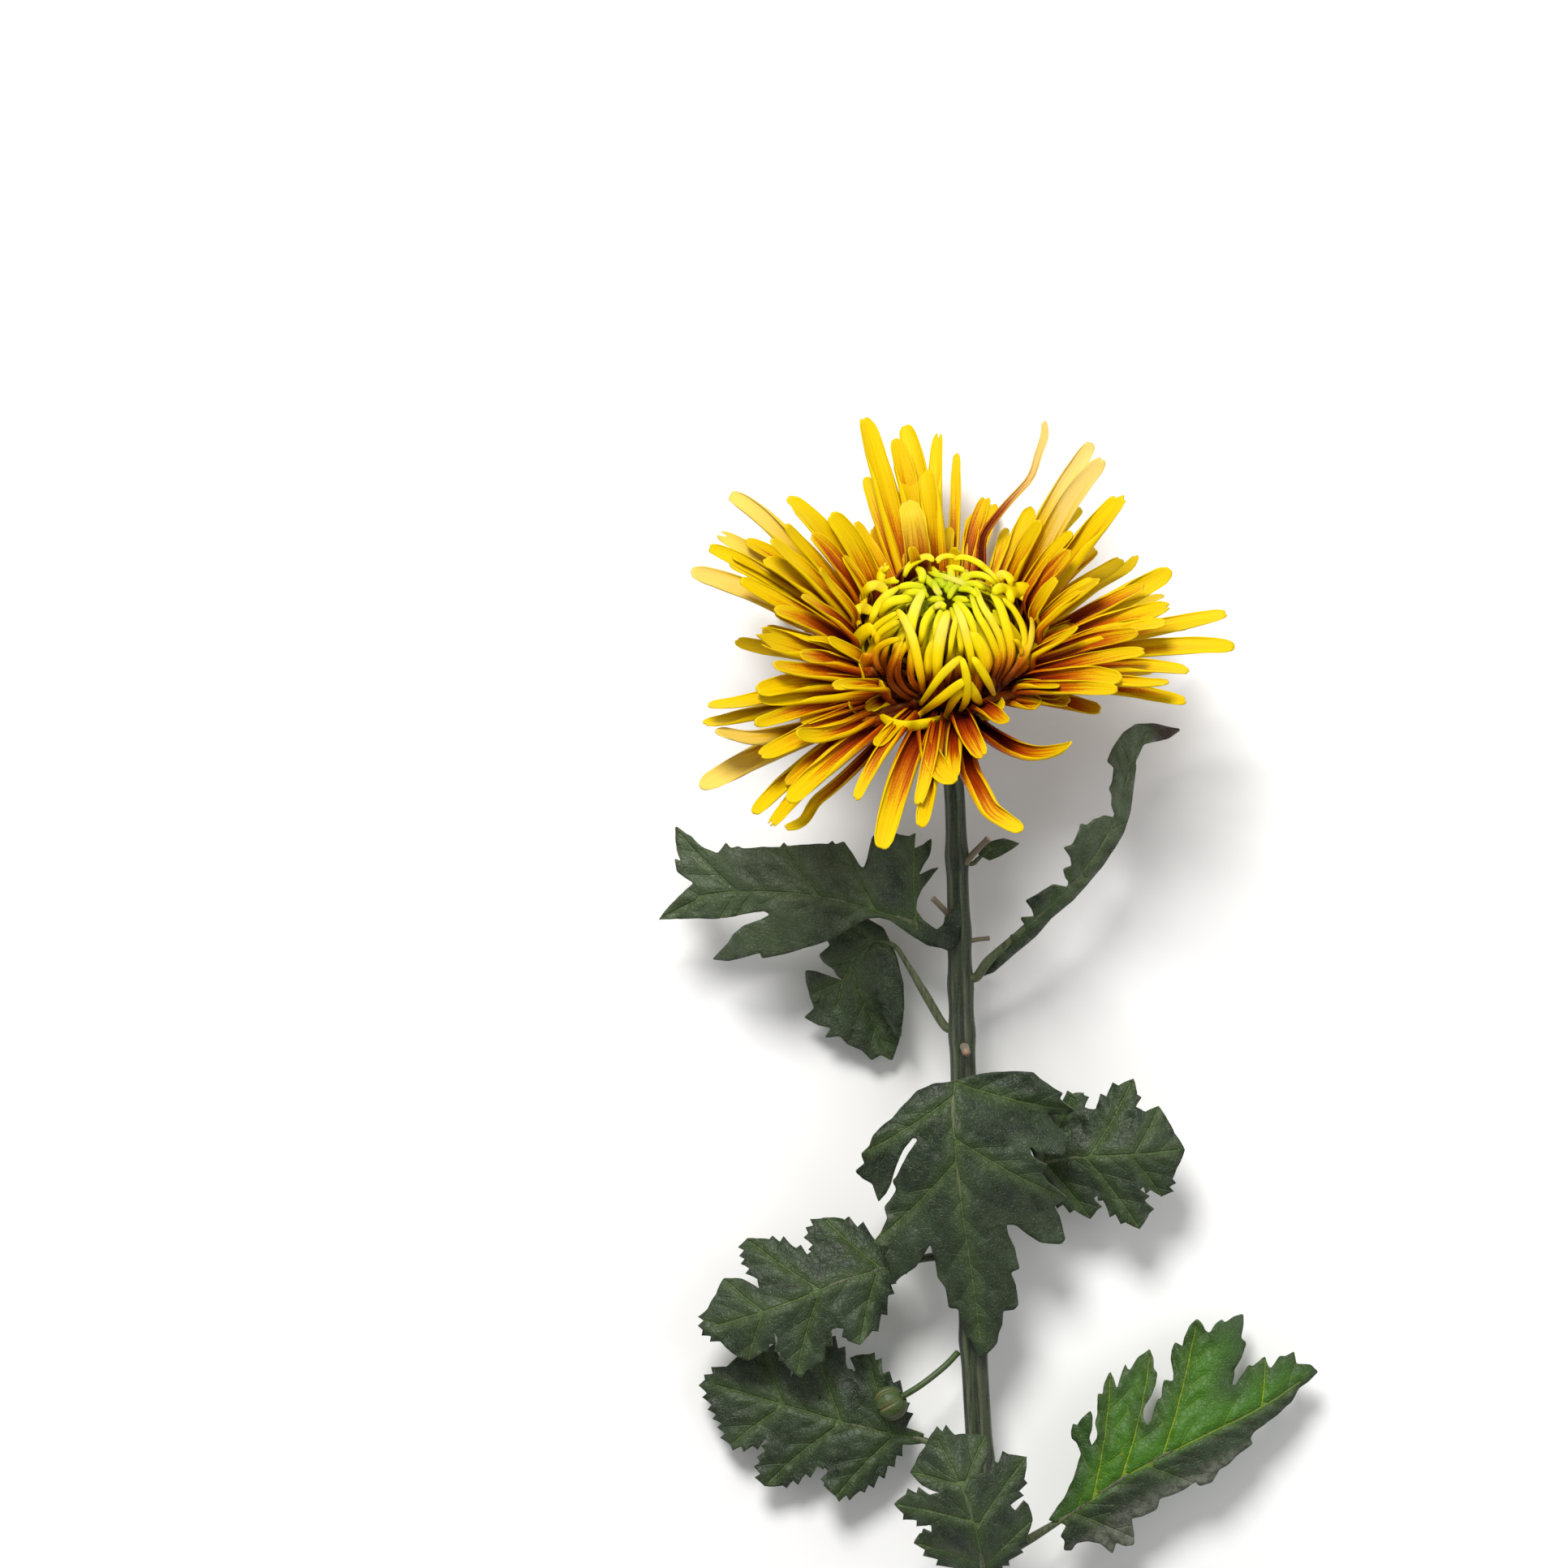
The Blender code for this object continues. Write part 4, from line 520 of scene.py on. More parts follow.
STEM_RIDGE = (90, 97, 62)
STEM_BROWN = (62, 52, 34)
STUB_GREY = (128, 122, 100)
STUB_BROWN = (104, 88, 66)
CUT_PINK = (192, 140, 116)
TABLE_WHITE = (244, 244, 244)
TABLE_SHADE = (240, 240, 239)
PETAL_ROUGHNESS = 0.42
PETAL_SHINE = 0.30
PETAL_SUBSURFACE = 0.0
LEAF_ROUGHNESS = 0.46

# Light: a soft lamp up and left of the bloom and a weaker one from the right
TABLE_REACH = 3000.0
WORLD_STRENGTH = 0.42
LIGHTS = (("key", (-300.0, 1000.0, 1150.0), 560.0, 24.0, (1.0, 0.99, 0.97)),
          ("fill", (900.0, 300.0, 1000.0), 900.0, 3.2, (0.97, 0.98, 1.0)))



def unit(vector):
    return vector / np.linalg.norm(vector)


def units(vectors):
    return vectors / np.maximum(np.linalg.norm(vectors, axis=1, keepdims=True), 1e-9)


def spline(points, count):
    """Points evenly spread in parameter on a smooth curve through the given ones."""
    knots = np.array(points, dtype=float)
    knots = np.vstack((2 * knots[0] - knots[1], knots, 2 * knots[-1] - knots[-2]))
    result = []
    for place in np.linspace(0.0, len(points) - 1.0, count):
        index = min(int(place), len(points) - 2)
        t = place - index
        a, b, c, d = knots[index:index + 4]
        result.append(0.5 * (2 * b + (c - a) * t + (2 * a - 5 * b + 4 * c - d) * t ** 2
                             + (3 * b - a - 3 * c + d) * t ** 3))
    return np.array(result)


def bezier(a, b, c, d, count):
    t = np.linspace(0.0, 1.0, count)[:, None]
    return a * (1 - t) ** 3 + 3 * b * t * (1 - t) ** 2 + 3 * c * t ** 2 * (1 - t) + d * t ** 3


def lifted(height, lowest, softness=FLOOR_SOFTNESS):
    """The height, bent smoothly so that it never goes below the lowest one."""
    over = height - lowest
    return lowest + 0.5 * (over + np.sqrt(over * over + softness * softness))


def outward(azimuth):
    """The direction away from the bloom's axis at an angle round it."""
    return ACROSS * math.cos(azimuth) + BACK * math.sin(azimuth)


def bloom_point(radius, azimuth, height):
    return FOOT + outward(azimuth) * radius + AXIS * height


def bloom_direction(azimuth, rise):
    """A direction by its angle round the bloom's axis and its rise towards the axis."""
    return outward(azimuth) * math.cos(rise) + AXIS * math.sin(rise)


def on_surface(point):
    """A point given across and along from the foot, and up from the table."""
    return np.array((FOOT[0] + point[0], FOOT[1] + point[1], point[2]))


def crosswise(along):
    """Two directions square to a given one and to each other, the first one level."""
    right = unit(np.cross(along, (0.0, 0.0, 1.0)))
    return right, np.cross(right, along)


# Meshes

class Shell:
    """Vertices, faces and values at the vertices, gathered from many small forms."""

    def __init__(self):
        self.points = []
        self.faces = []
        self.values = {}
        self.count = 0

    def add(self, points, groups, **values):
        self.points.append(points)
        for faces in groups:
            self.faces.extend((np.asarray(faces) + self.count).tolist())
        for name, value in values.items():
            self.values.setdefault(name, []).append(value)
        self.count += len(points)

    def made(self, name, materials):
        """One smooth-shaded object from everything gathered."""
        points = np.vstack(self.points)
        points[:, 2] = np.maximum(points[:, 2], 0.0)
        mesh = bpy.data.meshes.new(name)
        mesh.from_pydata(points * MM, [], self.faces)
        for label, parts in self.values.items():
            layer = mesh.attributes.new(label, "FLOAT_VECTOR", "POINT")
            layer.data.foreach_set("vector", np.vstack(parts).astype(np.float32).ravel())
        for each in materials:
            mesh.materials.append(each)
        mesh.shade_smooth()
        made = bpy.data.objects.new(name, mesh)
        bpy.context.scene.collection.objects.link(made)
        return made


def sheet_faces(rows, columns):
    """Quads of a closed sheet: an outer layer, an inner layer and the walls round the edge."""
    outer = np.arange(rows * columns).reshape(rows, columns)
    inner = outer + rows * columns
    quads = []

    def band(a, b, c, d):
        quads.append(np.stack((a.ravel(), b.ravel(), c.ravel(), d.ravel()), axis=1))

    band(outer[:-1, :-1], outer[1:, :-1], outer[1:, 1:], outer[:-1, 1:])
    band(inner[:-1, :-1], inner[:-1, 1:], inner[1:, 1:], inner[1:, :-1])
    band(outer[1:, 0], outer[:-1, 0], inner[:-1, 0], inner[1:, 0])
    band(outer[:-1, -1], outer[1:, -1], inner[1:, -1], inner[:-1, -1])
    band(outer[0, :-1], outer[0, 1:], inner[0, 1:], inner[0, :-1])
    band(outer[-1, 1:], outer[-1, :-1], inner[-1, :-1], inner[-1, 1:])
    return np.vstack(quads)


def tube_faces(rows, sides):
    """Quads round a tube, and triangles from its end rings to two middle points after them."""
    ring = np.arange(rows * sides).reshape(rows, sides)
    after = np.roll(ring, -1, axis=1)
    quads = np.stack((ring[:-1], after[:-1], after[1:], ring[1:]), axis=-1).reshape(-1, 4)
    first = np.full(sides, rows * sides)
    start = np.stack((after[0], ring[0], first), axis=1)
    end = np.stack((ring[-1], after[-1], first + 1), axis=1)
    return quads, np.vstack((start, end))


def tube(shell, path, radii, sides, kind, ridges=0, depth=0.0):
    """A tube along a path with a radius at each point, closed at both ends."""
    path = np.asarray(path)
    radii = np.asarray(radii, dtype=float)
    ways = units(np.gradient(path, axis=0))
    angles = 2 * math.pi * np.arange(sides) / sides
    rings = []
    for centre, along, radius in zip(path, ways, radii):
        right, up = crosswise(along)
        reach = radius * (1.0 + depth * np.cos(angles * ridges))[:, None]
        rings.append(centre + (np.cos(angles)[:, None] * right + np.sin(angles)[:, None] * up) * reach)
    points = np.vstack(rings + [path[:1], path[-1:]])
    share = np.repeat(np.linspace(0.0, 1.0, len(path)), sides)
    place = np.stack((share, np.tile(np.cos(angles * ridges), len(path)), np.zeros(len(share))), axis=1)
    place = np.vstack((place, (0.0, 0.0, 1.0), (1.0, 0.0, 1.0)))
    shell.add(points, tube_faces(len(path), sides), place=place, kind=np.tile(kind, (len(points), 1)))


# Petals

def towards_axis(path, out, axis):
    """The way that a petal's upper face looks at each point of its path: towards the axis."""
    along = units(np.gradient(path, axis=0))
    return axis * (along @ out)[:, None] - out * (along @ axis)[:, None]


def strap(shell, path, facing, width, kind, twist=0.0, opening=(150.0, 125.0, 95.0, 70.0),
          flatness=(0.75, 0.6, 0.42, 0.40), notches=(), hook=0.0, ruffle=0.0, columns=COLUMNS,
          shares=WIDTH_SHARES):
    """A petal along a path: a tube at its root that opens to a blunt, grooved strap.

    Opening is half the arc of the section in degrees at four places along it, and flatness the
    section's depth against half its width. A notch is (where across, how deep, how wide).
    """
    length = float(np.sum(np.linalg.norm(np.diff(path, axis=0), axis=1)))
    along = units(np.gradient(path, axis=0))
    upper = units(facing - along * np.sum(facing * along, axis=1, keepdims=True))
    share = np.linspace(0.0, 1.0, len(path))
    path = path + upper * (hook * np.clip((share - 0.84) / 0.16, 0.0, 1.0) ** 2)[:, None]
    along = units(np.gradient(path, axis=0))
    upper = units(upper - along * np.sum(upper * along, axis=1, keepdims=True))
    side = np.cross(along, upper)
    turn = (twist * share)[:, None]
    side, upper = side * np.cos(turn) + upper * np.sin(turn), upper * np.cos(turn) - side * np.sin(turn)

    u = np.linspace(-1.0, 1.0, columns)
    ends = 1.0 - 0.45 * width / length * (1.0 - np.sqrt(1.0 - 0.97 * u * u))
    for where, deep, wide in notches:
        ends = ends - deep / length * np.clip(1.0 - np.abs(u - where) / wide, 0.0, 1.0)
    t = 1.0 - (1.0 - np.linspace(0.0, 1.0, ROWS)) ** 1.25
    s = t[:, None] * ends[None, :]
    flat = s.ravel()

    def at(rows):
        return np.stack([np.interp(flat, share, rows[:, axis]) for axis in range(3)], axis=1)

    half = 0.5 * width * np.interp(flat, WIDTH_PLACES, shares)
    arc = np.radians(np.interp(flat, OPENING_PLACES, opening))
    depth = half * np.interp(flat, OPENING_PLACES, flatness)
    angle = np.tile(u, ROWS) * arc
    x = half * np.sin(angle) / np.sin(np.minimum(arc, 0.5 * math.pi))
    y = depth * (0.55 - np.cos(angle))
    y = y + ruffle * np.abs(np.tile(u, ROWS)) ** 3 * np.sin(flat * length * 0.5 + 3.0 * kind[0])
    outer = at(path) + at(side) * x[:, None] + at(upper) * y[:, None]
    outer[:, 2] = np.maximum(outer[:, 2], SKIN)
    grid = outer.reshape(ROWS, columns, 3)
    inward = units(np.cross(np.gradient(grid, axis=1), np.gradient(grid, axis=0)).reshape(-1, 3))
    inner = outer + inward * (SKIN * (1.0 - 0.6 * np.tile(u, ROWS) ** 2))[:, None]
    place = np.stack((flat, np.tile(u, ROWS), np.zeros(len(flat))), axis=1)
    place = np.vstack((place, place + (0.0, 0.0, 1.0)))
    shell.add(np.vstack((outer, inner)), [sheet_faces(ROWS, columns)], place=place,
              kind=np.tile(kind, (len(place), 1)))


def outside_dome(points):
    """The points, moved out from the bloom's axis where they would lie in the dome."""
    height = (points - FOOT) @ AXIS
    radial = points - FOOT - height[:, None] * AXIS
    radius = np.maximum(np.linalg.norm(radial, axis=1), 1e-6)
    least = np.interp(height, DOME_HEIGHTS, DOME_RADII) + DOME_CLEARANCE
    inside = (height > DOME_HEIGHTS[0]) & (height < DOME_HEIGHTS[-1]) & (radius < least)
    push = np.where(inside, least - radius, 0.0)
    return points + radial * (push / radius)[:, None]


def outer_path(tip, bend, sway):
    """The path of an outer petal from the core to its tip, clear of the dome and the table."""
    rise = math.asin(np.dot(tip, AXIS) / np.linalg.norm(tip))
    azimuth = math.atan2(np.dot(tip, BACK), np.dot(tip, ACROSS))
    out = outward(azimuth)
    level = np.interp(math.degrees(rise), (0.0, STEEP_RISE), PETAL_ROOT_HEIGHTS)
    root = bloom_point(PETAL_ROOT_RADIUS, azimuth, level)
    end = FOOT + tip
    third = 0.34 * np.linalg.norm(end - root)
    first = math.radians(float(np.clip(math.degrees(rise) + bend, *ROOT_RISES)))
    last = rise - math.radians(bend) * 1.1
    leaving = root + third * bloom_direction(azimuth, first)
    coming = end - third * bloom_direction(azimuth, last) + sway * np.cross(AXIS, out)
    path = bezier(root, leaving, coming, end, PATH_POINTS)
    path[:, 2] = lifted(path[:, 2], PETAL_FLOOR)
    path = outside_dome(path)
    for _ in range(4):
        path[1:-1] = 0.25 * path[:-2] + 0.5 * path[1:-1] + 0.25 * path[2:]
    return path, out


def from_pixel(place):
    """The place on the table, at the foot's height, of a pixel of the photograph."""
    return np.array((FOOT[0] + (place[0] - FOOT_PIXEL[0]) * MM_PER_PIXEL,
                     FOOT[1] + (FOOT_PIXEL[1] - place[1]) * MM_PER_PIXEL))


def tip_from(row):
    """The tip of a listed petal, from where it lies in plan and how far it reaches."""
    across, along, reach = row[:3]
    depth = math.sqrt(max(reach * reach - across * across - along * along, 0.0))
    return np.array((across, along, math.copysign(depth, reach)))


def outer_tips():
    """Every outer petal's tip, width and bend: those seen from above, then the hidden ones."""
    rows = []
    for row in OUTER_TIPS:
        rows.append((tip_from(row), row[3], row[4]))
    draw = random.Random(11)
    for index in range(UNDER_PETALS):
        turn = UNDER_START + UNDER_SPAN * (index + 0.5) / UNDER_PETALS
        azimuth = math.radians(turn + draw.uniform(-3, 3))
        rise = math.radians(UNDER_RISES[index % 2] + draw.uniform(-4, 4))
        reach = draw.uniform(54.0, 66.0)
        rows.append((bloom_direction(azimuth, rise) * reach, draw.uniform(3.6, 4.8), 10))
    for index in range(MIDDLE_PETALS):
        azimuth = math.radians(360.0 * (index + 0.3) / MIDDLE_PETALS + draw.uniform(-8, 8))
        rise = math.radians(draw.uniform(34, 46))
        reach = draw.uniform(31.0, 40.0)
        if math.sin(azimuth) > MIDDLE_FRONT:
            rows.append((bloom_direction(azimuth, rise) * reach, 3.6, -6))
    return rows


def led_through(path, ways):
    """The path, shifted in plan so that it passes over the given places between its ends."""
    flat = path[:, :2]
    marks, shifts = [0.0], [np.zeros(2)]
    chord = flat[-1] - flat[0]
    for way in ways:
        aim = from_pixel(way)
        share = float(np.clip((aim - flat[0]) @ chord / (chord @ chord), 0.02, 0.98))
        share = max(share, marks[-1] + 0.02)
        marks.append(share)
        shifts.append(aim - np.array([np.interp(share, SHARES, flat[:, axis]) for axis in range(2)]))
    marks.append(1.0)
    shifts.append(np.zeros(2))
    shifts = np.array(shifts)
    for axis in range(2):
        path[:, axis] += np.interp(SHARES, marks, shifts[:, axis])
    for _ in range(3):
        path[1:-1] = 0.25 * path[:-2] + 0.5 * path[1:-1] + 0.25 * path[2:]
    return path


def red_reach(tip, draw):
    """How far along a petal the red goes: more on the right and in front than at the back left."""
    right = float(np.clip(tip[0] / 50.0, -0.2, 1.0))
    front = float(np.clip((18.0 - tip[1]) / 40.0, 0.0, 1.0))
    low = float(np.clip((36.0 - tip[1]) / 30.0, 0.0, 1.0))
    reach = RED_REACH + RED_MORE_RIGHT * right * low + RED_MORE_FRONT * front + draw.uniform(-4.0, 4.0)
    return min(RED_MOST, reach / float(np.linalg.norm(tip)))


def outer_petals(materials):
    shells = [Shell(), Shell()]
    draw = random.Random(5)
    look = random.Random(17)
    rows = [(tip, width, bend, index) for index, (tip, width, bend) in enumerate(outer_tips())]
    rows += [(tip_from(row), row[3], row[4], -1) for row in BETWEEN_TIPS]
    for tip, width, bend, index in list(rows[:len(OUTER_TIPS)]):
        if look.random() < COMPANION_SHARE and tip[1] > COMPANIONS_BEHIND:
            rise = math.asin(np.dot(tip, AXIS) / np.linalg.norm(tip)) - math.radians(look.uniform(5, 13))
            azimuth = math.atan2(np.dot(tip, BACK), np.dot(tip, ACROSS)) + math.radians(look.uniform(-5, 5))
            reach = np.linalg.norm(tip) * look.uniform(0.60, 0.84)
            rows.append((bloom_direction(azimuth, rise) * reach, look.uniform(3.6, 4.6), bend, -2))
    for number, (tip, width, bend, index) in enumerate(rows):
        path, out = outer_path(tip, bend, draw.uniform(-3.0, 3.0))
        if index in AT_DOME_EDGE:
            continue
        if index in PETAL_WAYS:
            path = led_through(path, PETAL_WAYS[index])
        mark = SPECIAL.get(index, {})
        twist = draw.uniform(-0.3, 0.3)
        red = mark.get("red", red_reach(tip, look)) + (RED_BETWEEN if index < 0 else 0.0)
        # Kind: a seed, where the red ends, and how much painted highlight in pale cream the end has
        kind = (look.random(), red, mark.get("pale", 0.0))
        openness = look.uniform(60.0, 105.0)
        closed = look.uniform(112.0, 160.0)
        notches = mark.get("notches")
        if notches is None:
            notches = ((look.uniform(-0.5, 0.5), look.uniform(0.0, 1.0), 0.3),)
        facing = towards_axis(path, out, AXIS) + (0.0, 0.0, LOOK_UP)
        strap(shells[number % 2], path, facing, WIDER * PETAL_WIDTHS.get(index, width), kind,
              twist=1.6 * twist, opening=(175.0, 0.5 * (175.0 + closed), closed, openness),
              flatness=(0.75, 0.55, 0.42, 0.34), notches=notches, shares=mark.get("shares", WIDTH_SHARES),
              hook=mark.get("hook", look.uniform(-1.0, 1.8)), ruffle=0.12,
              columns=17 if "notches" in mark else COLUMNS)
    made = []
    for number, shell in enumerate(shells):
        made.append(shell.made(f"outer_petals_{number + 1}", materials))
    return made


def dome_height(flat):
    """The height of the dome's top over places in plan, or of its rim beside it."""
    levels = np.linspace(FOOT[2] + 40.0, FOOT[2] - 16.0, 281)
    points = np.concatenate((np.repeat(flat[:, None, :], len(levels), axis=1),
                             np.tile(levels[:, None], (len(flat), 1, 1))), axis=2)
    height = (points - FOOT) @ AXIS
    radius = np.linalg.norm(points - FOOT - height[:, :, None] * AXIS, axis=2)
    excess = radius - np.interp(height, DOME_HEIGHTS, DOME_RADII)
    excess[(height < DOME_HEIGHTS[0]) | (height > DOME_HEIGHTS[-1])] = 99.0
    covered = excess < 0.0
    return levels[np.where(covered.any(axis=1), covered.argmax(axis=1), excess.argmin(axis=1))]


def dome_path(way, layer):
    """A traced petal's path, laid over the dome with its root tucked in and its tip bent down."""
    flat = spline([(*from_pixel(place), 0.0) for place in way], PATH_POINTS)[:, :2]
    height = dome_height(flat)
    for _ in range(12):
        height[1:-1] = 0.25 * height[:-2] + 0.5 * height[1:-1] + 0.25 * height[2:]
    share = SHARES
    tuck = -3.0 * np.clip(1.0 - share / 0.25, 0.0, 1.0) ** 2 - 1.2 * np.clip((share - 0.8) / 0.2, 0, 1) ** 2
    return np.hstack((flat, (height + tuck + layer * LAYER_HEIGHT)[:, None]))


def inner_path(share, azimuth, lean, droop):
    """An incurved petal of the dome: it bulges out from the core and bends in over the top."""
    corners = []
    turns = (0.0, 0.0, 0.5 * lean, lean)
    for (r0, h0), (r1, h1), turn in zip(INNER_OUTERMOST, INNER_MIDMOST, turns):
        radius = r0 + (r1 - r0) * share
        height = h0 + (h1 - h0) * share ** 0.7
        corners.append(bloom_point(radius, azimuth + turn, height))
    corners[3] = corners[3] - AXIS * droop
    return bezier(*corners, PATH_POINTS)


def inner_petals(materials):
    shell = Shell()
    draw = random.Random(23)
    turn = 0.0
    centre = bloom_point(0.0, 0.0, DOME_MIDDLE)
    # Traced petals above the fourth layer get a red below zero, which keeps them yellow and out of the painted
    # shade at the foot
    traces = [(width, layer, -0.3 if layer > 4 else draw.uniform(0.0, 0.1), pale, way)
              for width, layer, pale, way in DOME_TRACES]
    traces += [(width, layer, red, 0.0, way) for width, layer, red, way in FOOT_TRACES]
    for width, layer, red, pale, way in traces:
        path = dome_path(way, layer)
        kind = (draw.random(), red, pale)
        facing = units(centre - path) + (0.0, 0.0, -1.4)
        strap(shell, path, facing, width * MM_PER_PIXEL, kind,
              opening=(120.0, 100.0, 90.0, 80.0), flatness=(0.7, 0.5, 0.4, 0.4), shares=DOME_SHARES)
    for share, count in INNER_RINGS:
        turn += GOLDEN_ANGLE
        for index in range(count):
            azimuth = turn + 2 * math.pi * (index + draw.uniform(-0.25, 0.25)) / count
            path = inner_path(share, azimuth, draw.uniform(-0.5, 0.5), draw.uniform(-0.5, 2.0))
            path = centre + (path - centre) * DOME_FILL_SHARE
            width = draw.uniform(2.6, 3.4) * (1.0 - 0.4 * share)
            kind = (draw.random(), draw.uniform(0.20, 0.34), 0.0)
            facing = towards_axis(path, outward(azimuth), AXIS)
            strap(shell, path, facing, width, kind, twist=draw.uniform(-0.5, 0.5),
                  opening=(150.0, 120.0, 90.0, 80.0), flatness=(0.7, 0.55, 0.45, 0.4),
                  shares=DOME_SHARES)
    return shell.made("inner_petals_fine", materials)


def turned(shell, profile, ends, kind, sides=48):
    """A body turned round the bloom's axis, closed at both ends on the axis."""
    rings = []
    for radius, height in profile:
        rings.extend(bloom_point(radius, 2 * math.pi * i / sides, height) for i in range(sides))
    points = np.array(rings + [bloom_point(0.0, 0.0, ends[0]), bloom_point(0.0, 0.0, ends[1])])
    place = np.zeros((len(points), 3))
    shell.add(points, tube_faces(len(profile), sides), place=place,
              kind=np.tile(kind, (len(points), 1)))


def calyx(materials):
    """The green cup under the bloom, under three rows of overlapping bracts."""
    shell = Shell()
    turned(shell, CALYX_PROFILE, CALYX_ENDS, (0.5, 0.0, 0.0))
    draw = random.Random(3)
    for row, (count, lift, reach) in enumerate(BRACT_ROWS):
        for index in range(count):
            azimuth = 2 * math.pi * (index + 0.5 * (row % 2) + draw.uniform(-0.1, 0.1)) / count
            places = [bloom_point(radius + 0.25 * (2 - row), azimuth, height * lift + reach)
                      for radius, height in BRACT_LINE]
            path = spline(places, PATH_POINTS)
            facing = towards_axis(path, outward(azimuth), AXIS)
            strap(shell, path, facing, draw.uniform(4.0, 4.9), (draw.random(), 1.0, 0.0),
                  opening=(40.0, 40.0, 38.0, 34.0), flatness=(0.9, 0.9, 0.9, 0.9),
                  shares=BRACT_SHARES)
    return shell.made("calyx_bracts", materials)


def stem_centre(along):
    """The stem's centre and radius at a distance along the object, measured from the foot."""
    places = [-point[1] for point in STEM_PATH]
    centre = np.array((np.interp(-along, places, [p[0] for p in STEM_PATH]), along,
                       np.interp(-along, places, [p[2] for p in STEM_PATH])))
    return centre, float(np.interp(-along, places, STEM_RADII))


def stem(materials):
    """The ribbed stem, swollen at its leaf joints, with the cut stubs of side shoots."""
    shell = Shell()
    centres = spline(STEM_PATH, STEM_STATIONS)
    radii = spline([(r, 0.0, 0.0) for r in STEM_RADII], STEM_STATIONS)[:, 0]
    places = np.array(NODE_PLACES)
    swelling = np.exp(-((centres[:, 1:2] - places[None, :]) / SWELLING_LENGTH) ** 2).sum(axis=1)
    radii = radii + NODE_SWELLING * np.minimum(swelling, 1.0)
    path = np.array([on_surface(point) for point in centres])
    tube(shell, path, radii, STEM_SIDES, (0.2, 0.0, 0.0), STEM_RIDGES, RIDGE_DEPTH)
    for along, direction, length, radius in STUBS:
        centre, around = stem_centre(along)
        start = on_surface(centre)
        end = start + unit(np.array(direction)) * (around + length)
        bow = np.array((0.0, 0.35, 0.0))
        path = spline([start, 0.5 * (start + end) + bow, end], 14)
        sizes = np.interp(np.linspace(0, 1, 14), (0.0, 0.35, 0.9, 1.0), (1.5, 1.12, 1.0, 1.12)) * radius
        tube(shell, path, sizes, 14, (0.6, 1.0, 0.0))
    return shell.made("stem_fine", materials)


def bud(materials):
    """A small side bud wrapped in overlapping sepals, on its stalk."""
    shell = Shell()
    centre = on_surface(BUD_PLACE)
    stalk = np.array([on_surface(point) for point in spline(BUD_STALK, 24)])
    tube(shell, stalk, [BUD_STALK_RADIUS] * len(stalk), 12, (0.4, 0.0, 0.0))
    axis = unit(stalk[-1] - stalk[-4])
    right = unit(np.cross(axis, (0.0, 0.0, 1.0)))
    over = np.cross(right, axis)
    core = [centre + axis * BUD_RADIUS * x for x in np.linspace(-0.86, 0.80, 20)]
    round_radii = [0.86 * BUD_RADIUS * math.sqrt(max(1.0 - x * x, 0.02)) for x in np.linspace(-0.99, 0.97, 20)]
    tube(shell, core, round_radii, 20, (0.8, 0.0, 1.0))
    draw = random.Random(6)
    for row, (count, first, last) in enumerate(SEPAL_ROWS):
        for index in range(count):
            azimuth = 2 * math.pi * (index + 0.5 * row + draw.uniform(-0.1, 0.1)) / count
            out = right * math.cos(azimuth) + over * math.sin(azimuth)
            reach = BUD_RADIUS * (0.98 - 0.03 * row)
            angles = np.radians(np.linspace(first, last, PATH_POINTS))[:, None]
            path = centre + reach * (np.cos(angles) * axis * -1.0 + np.sin(angles) * out)
            facing = towards_axis(path, out, axis)
            strap(shell, path, facing, 3.4 - 0.3 * row, (draw.random(), 1.0, 0.0),
                  opening=(50.0, 50.0, 48.0, 44.0), flatness=(0.9, 0.9, 0.9, 0.9), shares=BRACT_SHARES)
    return shell.made("bud_fine", materials)


# Leaves

def beside(path, points):
    """Each point's share along a path in plan, the nearest place on it, and the signed distance."""
    best = np.full(len(points), np.inf)
    share = np.zeros(len(points))
    place = np.zeros((len(points), path.shape[1]))
    signed = np.zeros(len(points))
    for index in range(len(path) - 1):
        start, end = path[index], path[index + 1]
        line = end[:2] - start[:2]
        t = np.clip((points - start[:2]) @ line / max(line @ line, 1e-9), 0.0, 1.0)
        near = start + t[:, None] * (end - start)
        offset = points - near[:, :2]
        distance = np.linalg.norm(offset, axis=1)
        closer = distance < best
        best[closer] = distance[closer]
        share[closer] = (index + t[closer]) / (len(path) - 1)
        place[closer] = near[closer]
        cross = line[0] * offset[:, 1] - line[1] * offset[:, 0]
        signed[closer] = (np.where(cross >= 0.0, distance, -distance))[closer]
    return share, place, signed


def distance_to(lines, points):
    """The least distance in plan from each point to any of the lines."""
    best = np.full(len(points), 50.0)
    for line in lines:
        best = np.minimum(best, np.abs(beside(np.asarray(line), points)[2]))
    return best


def within(outline, points):
    """Whether each point lies inside a closed outline in plan."""
    points = np.atleast_2d(points)
    inside = np.zeros(len(points), dtype=bool)
    for a, b in zip(outline, np.roll(outline, -1, axis=0)):
        crosses = (a[1] > points[:, 1]) != (b[1] > points[:, 1])
        rise = b[1] - a[1] if b[1] != a[1] else 1e-9
        inside ^= crosses & (points[:, 0] < (b[0] - a[0]) * (points[:, 1] - a[1]) / rise + a[0])
    return inside


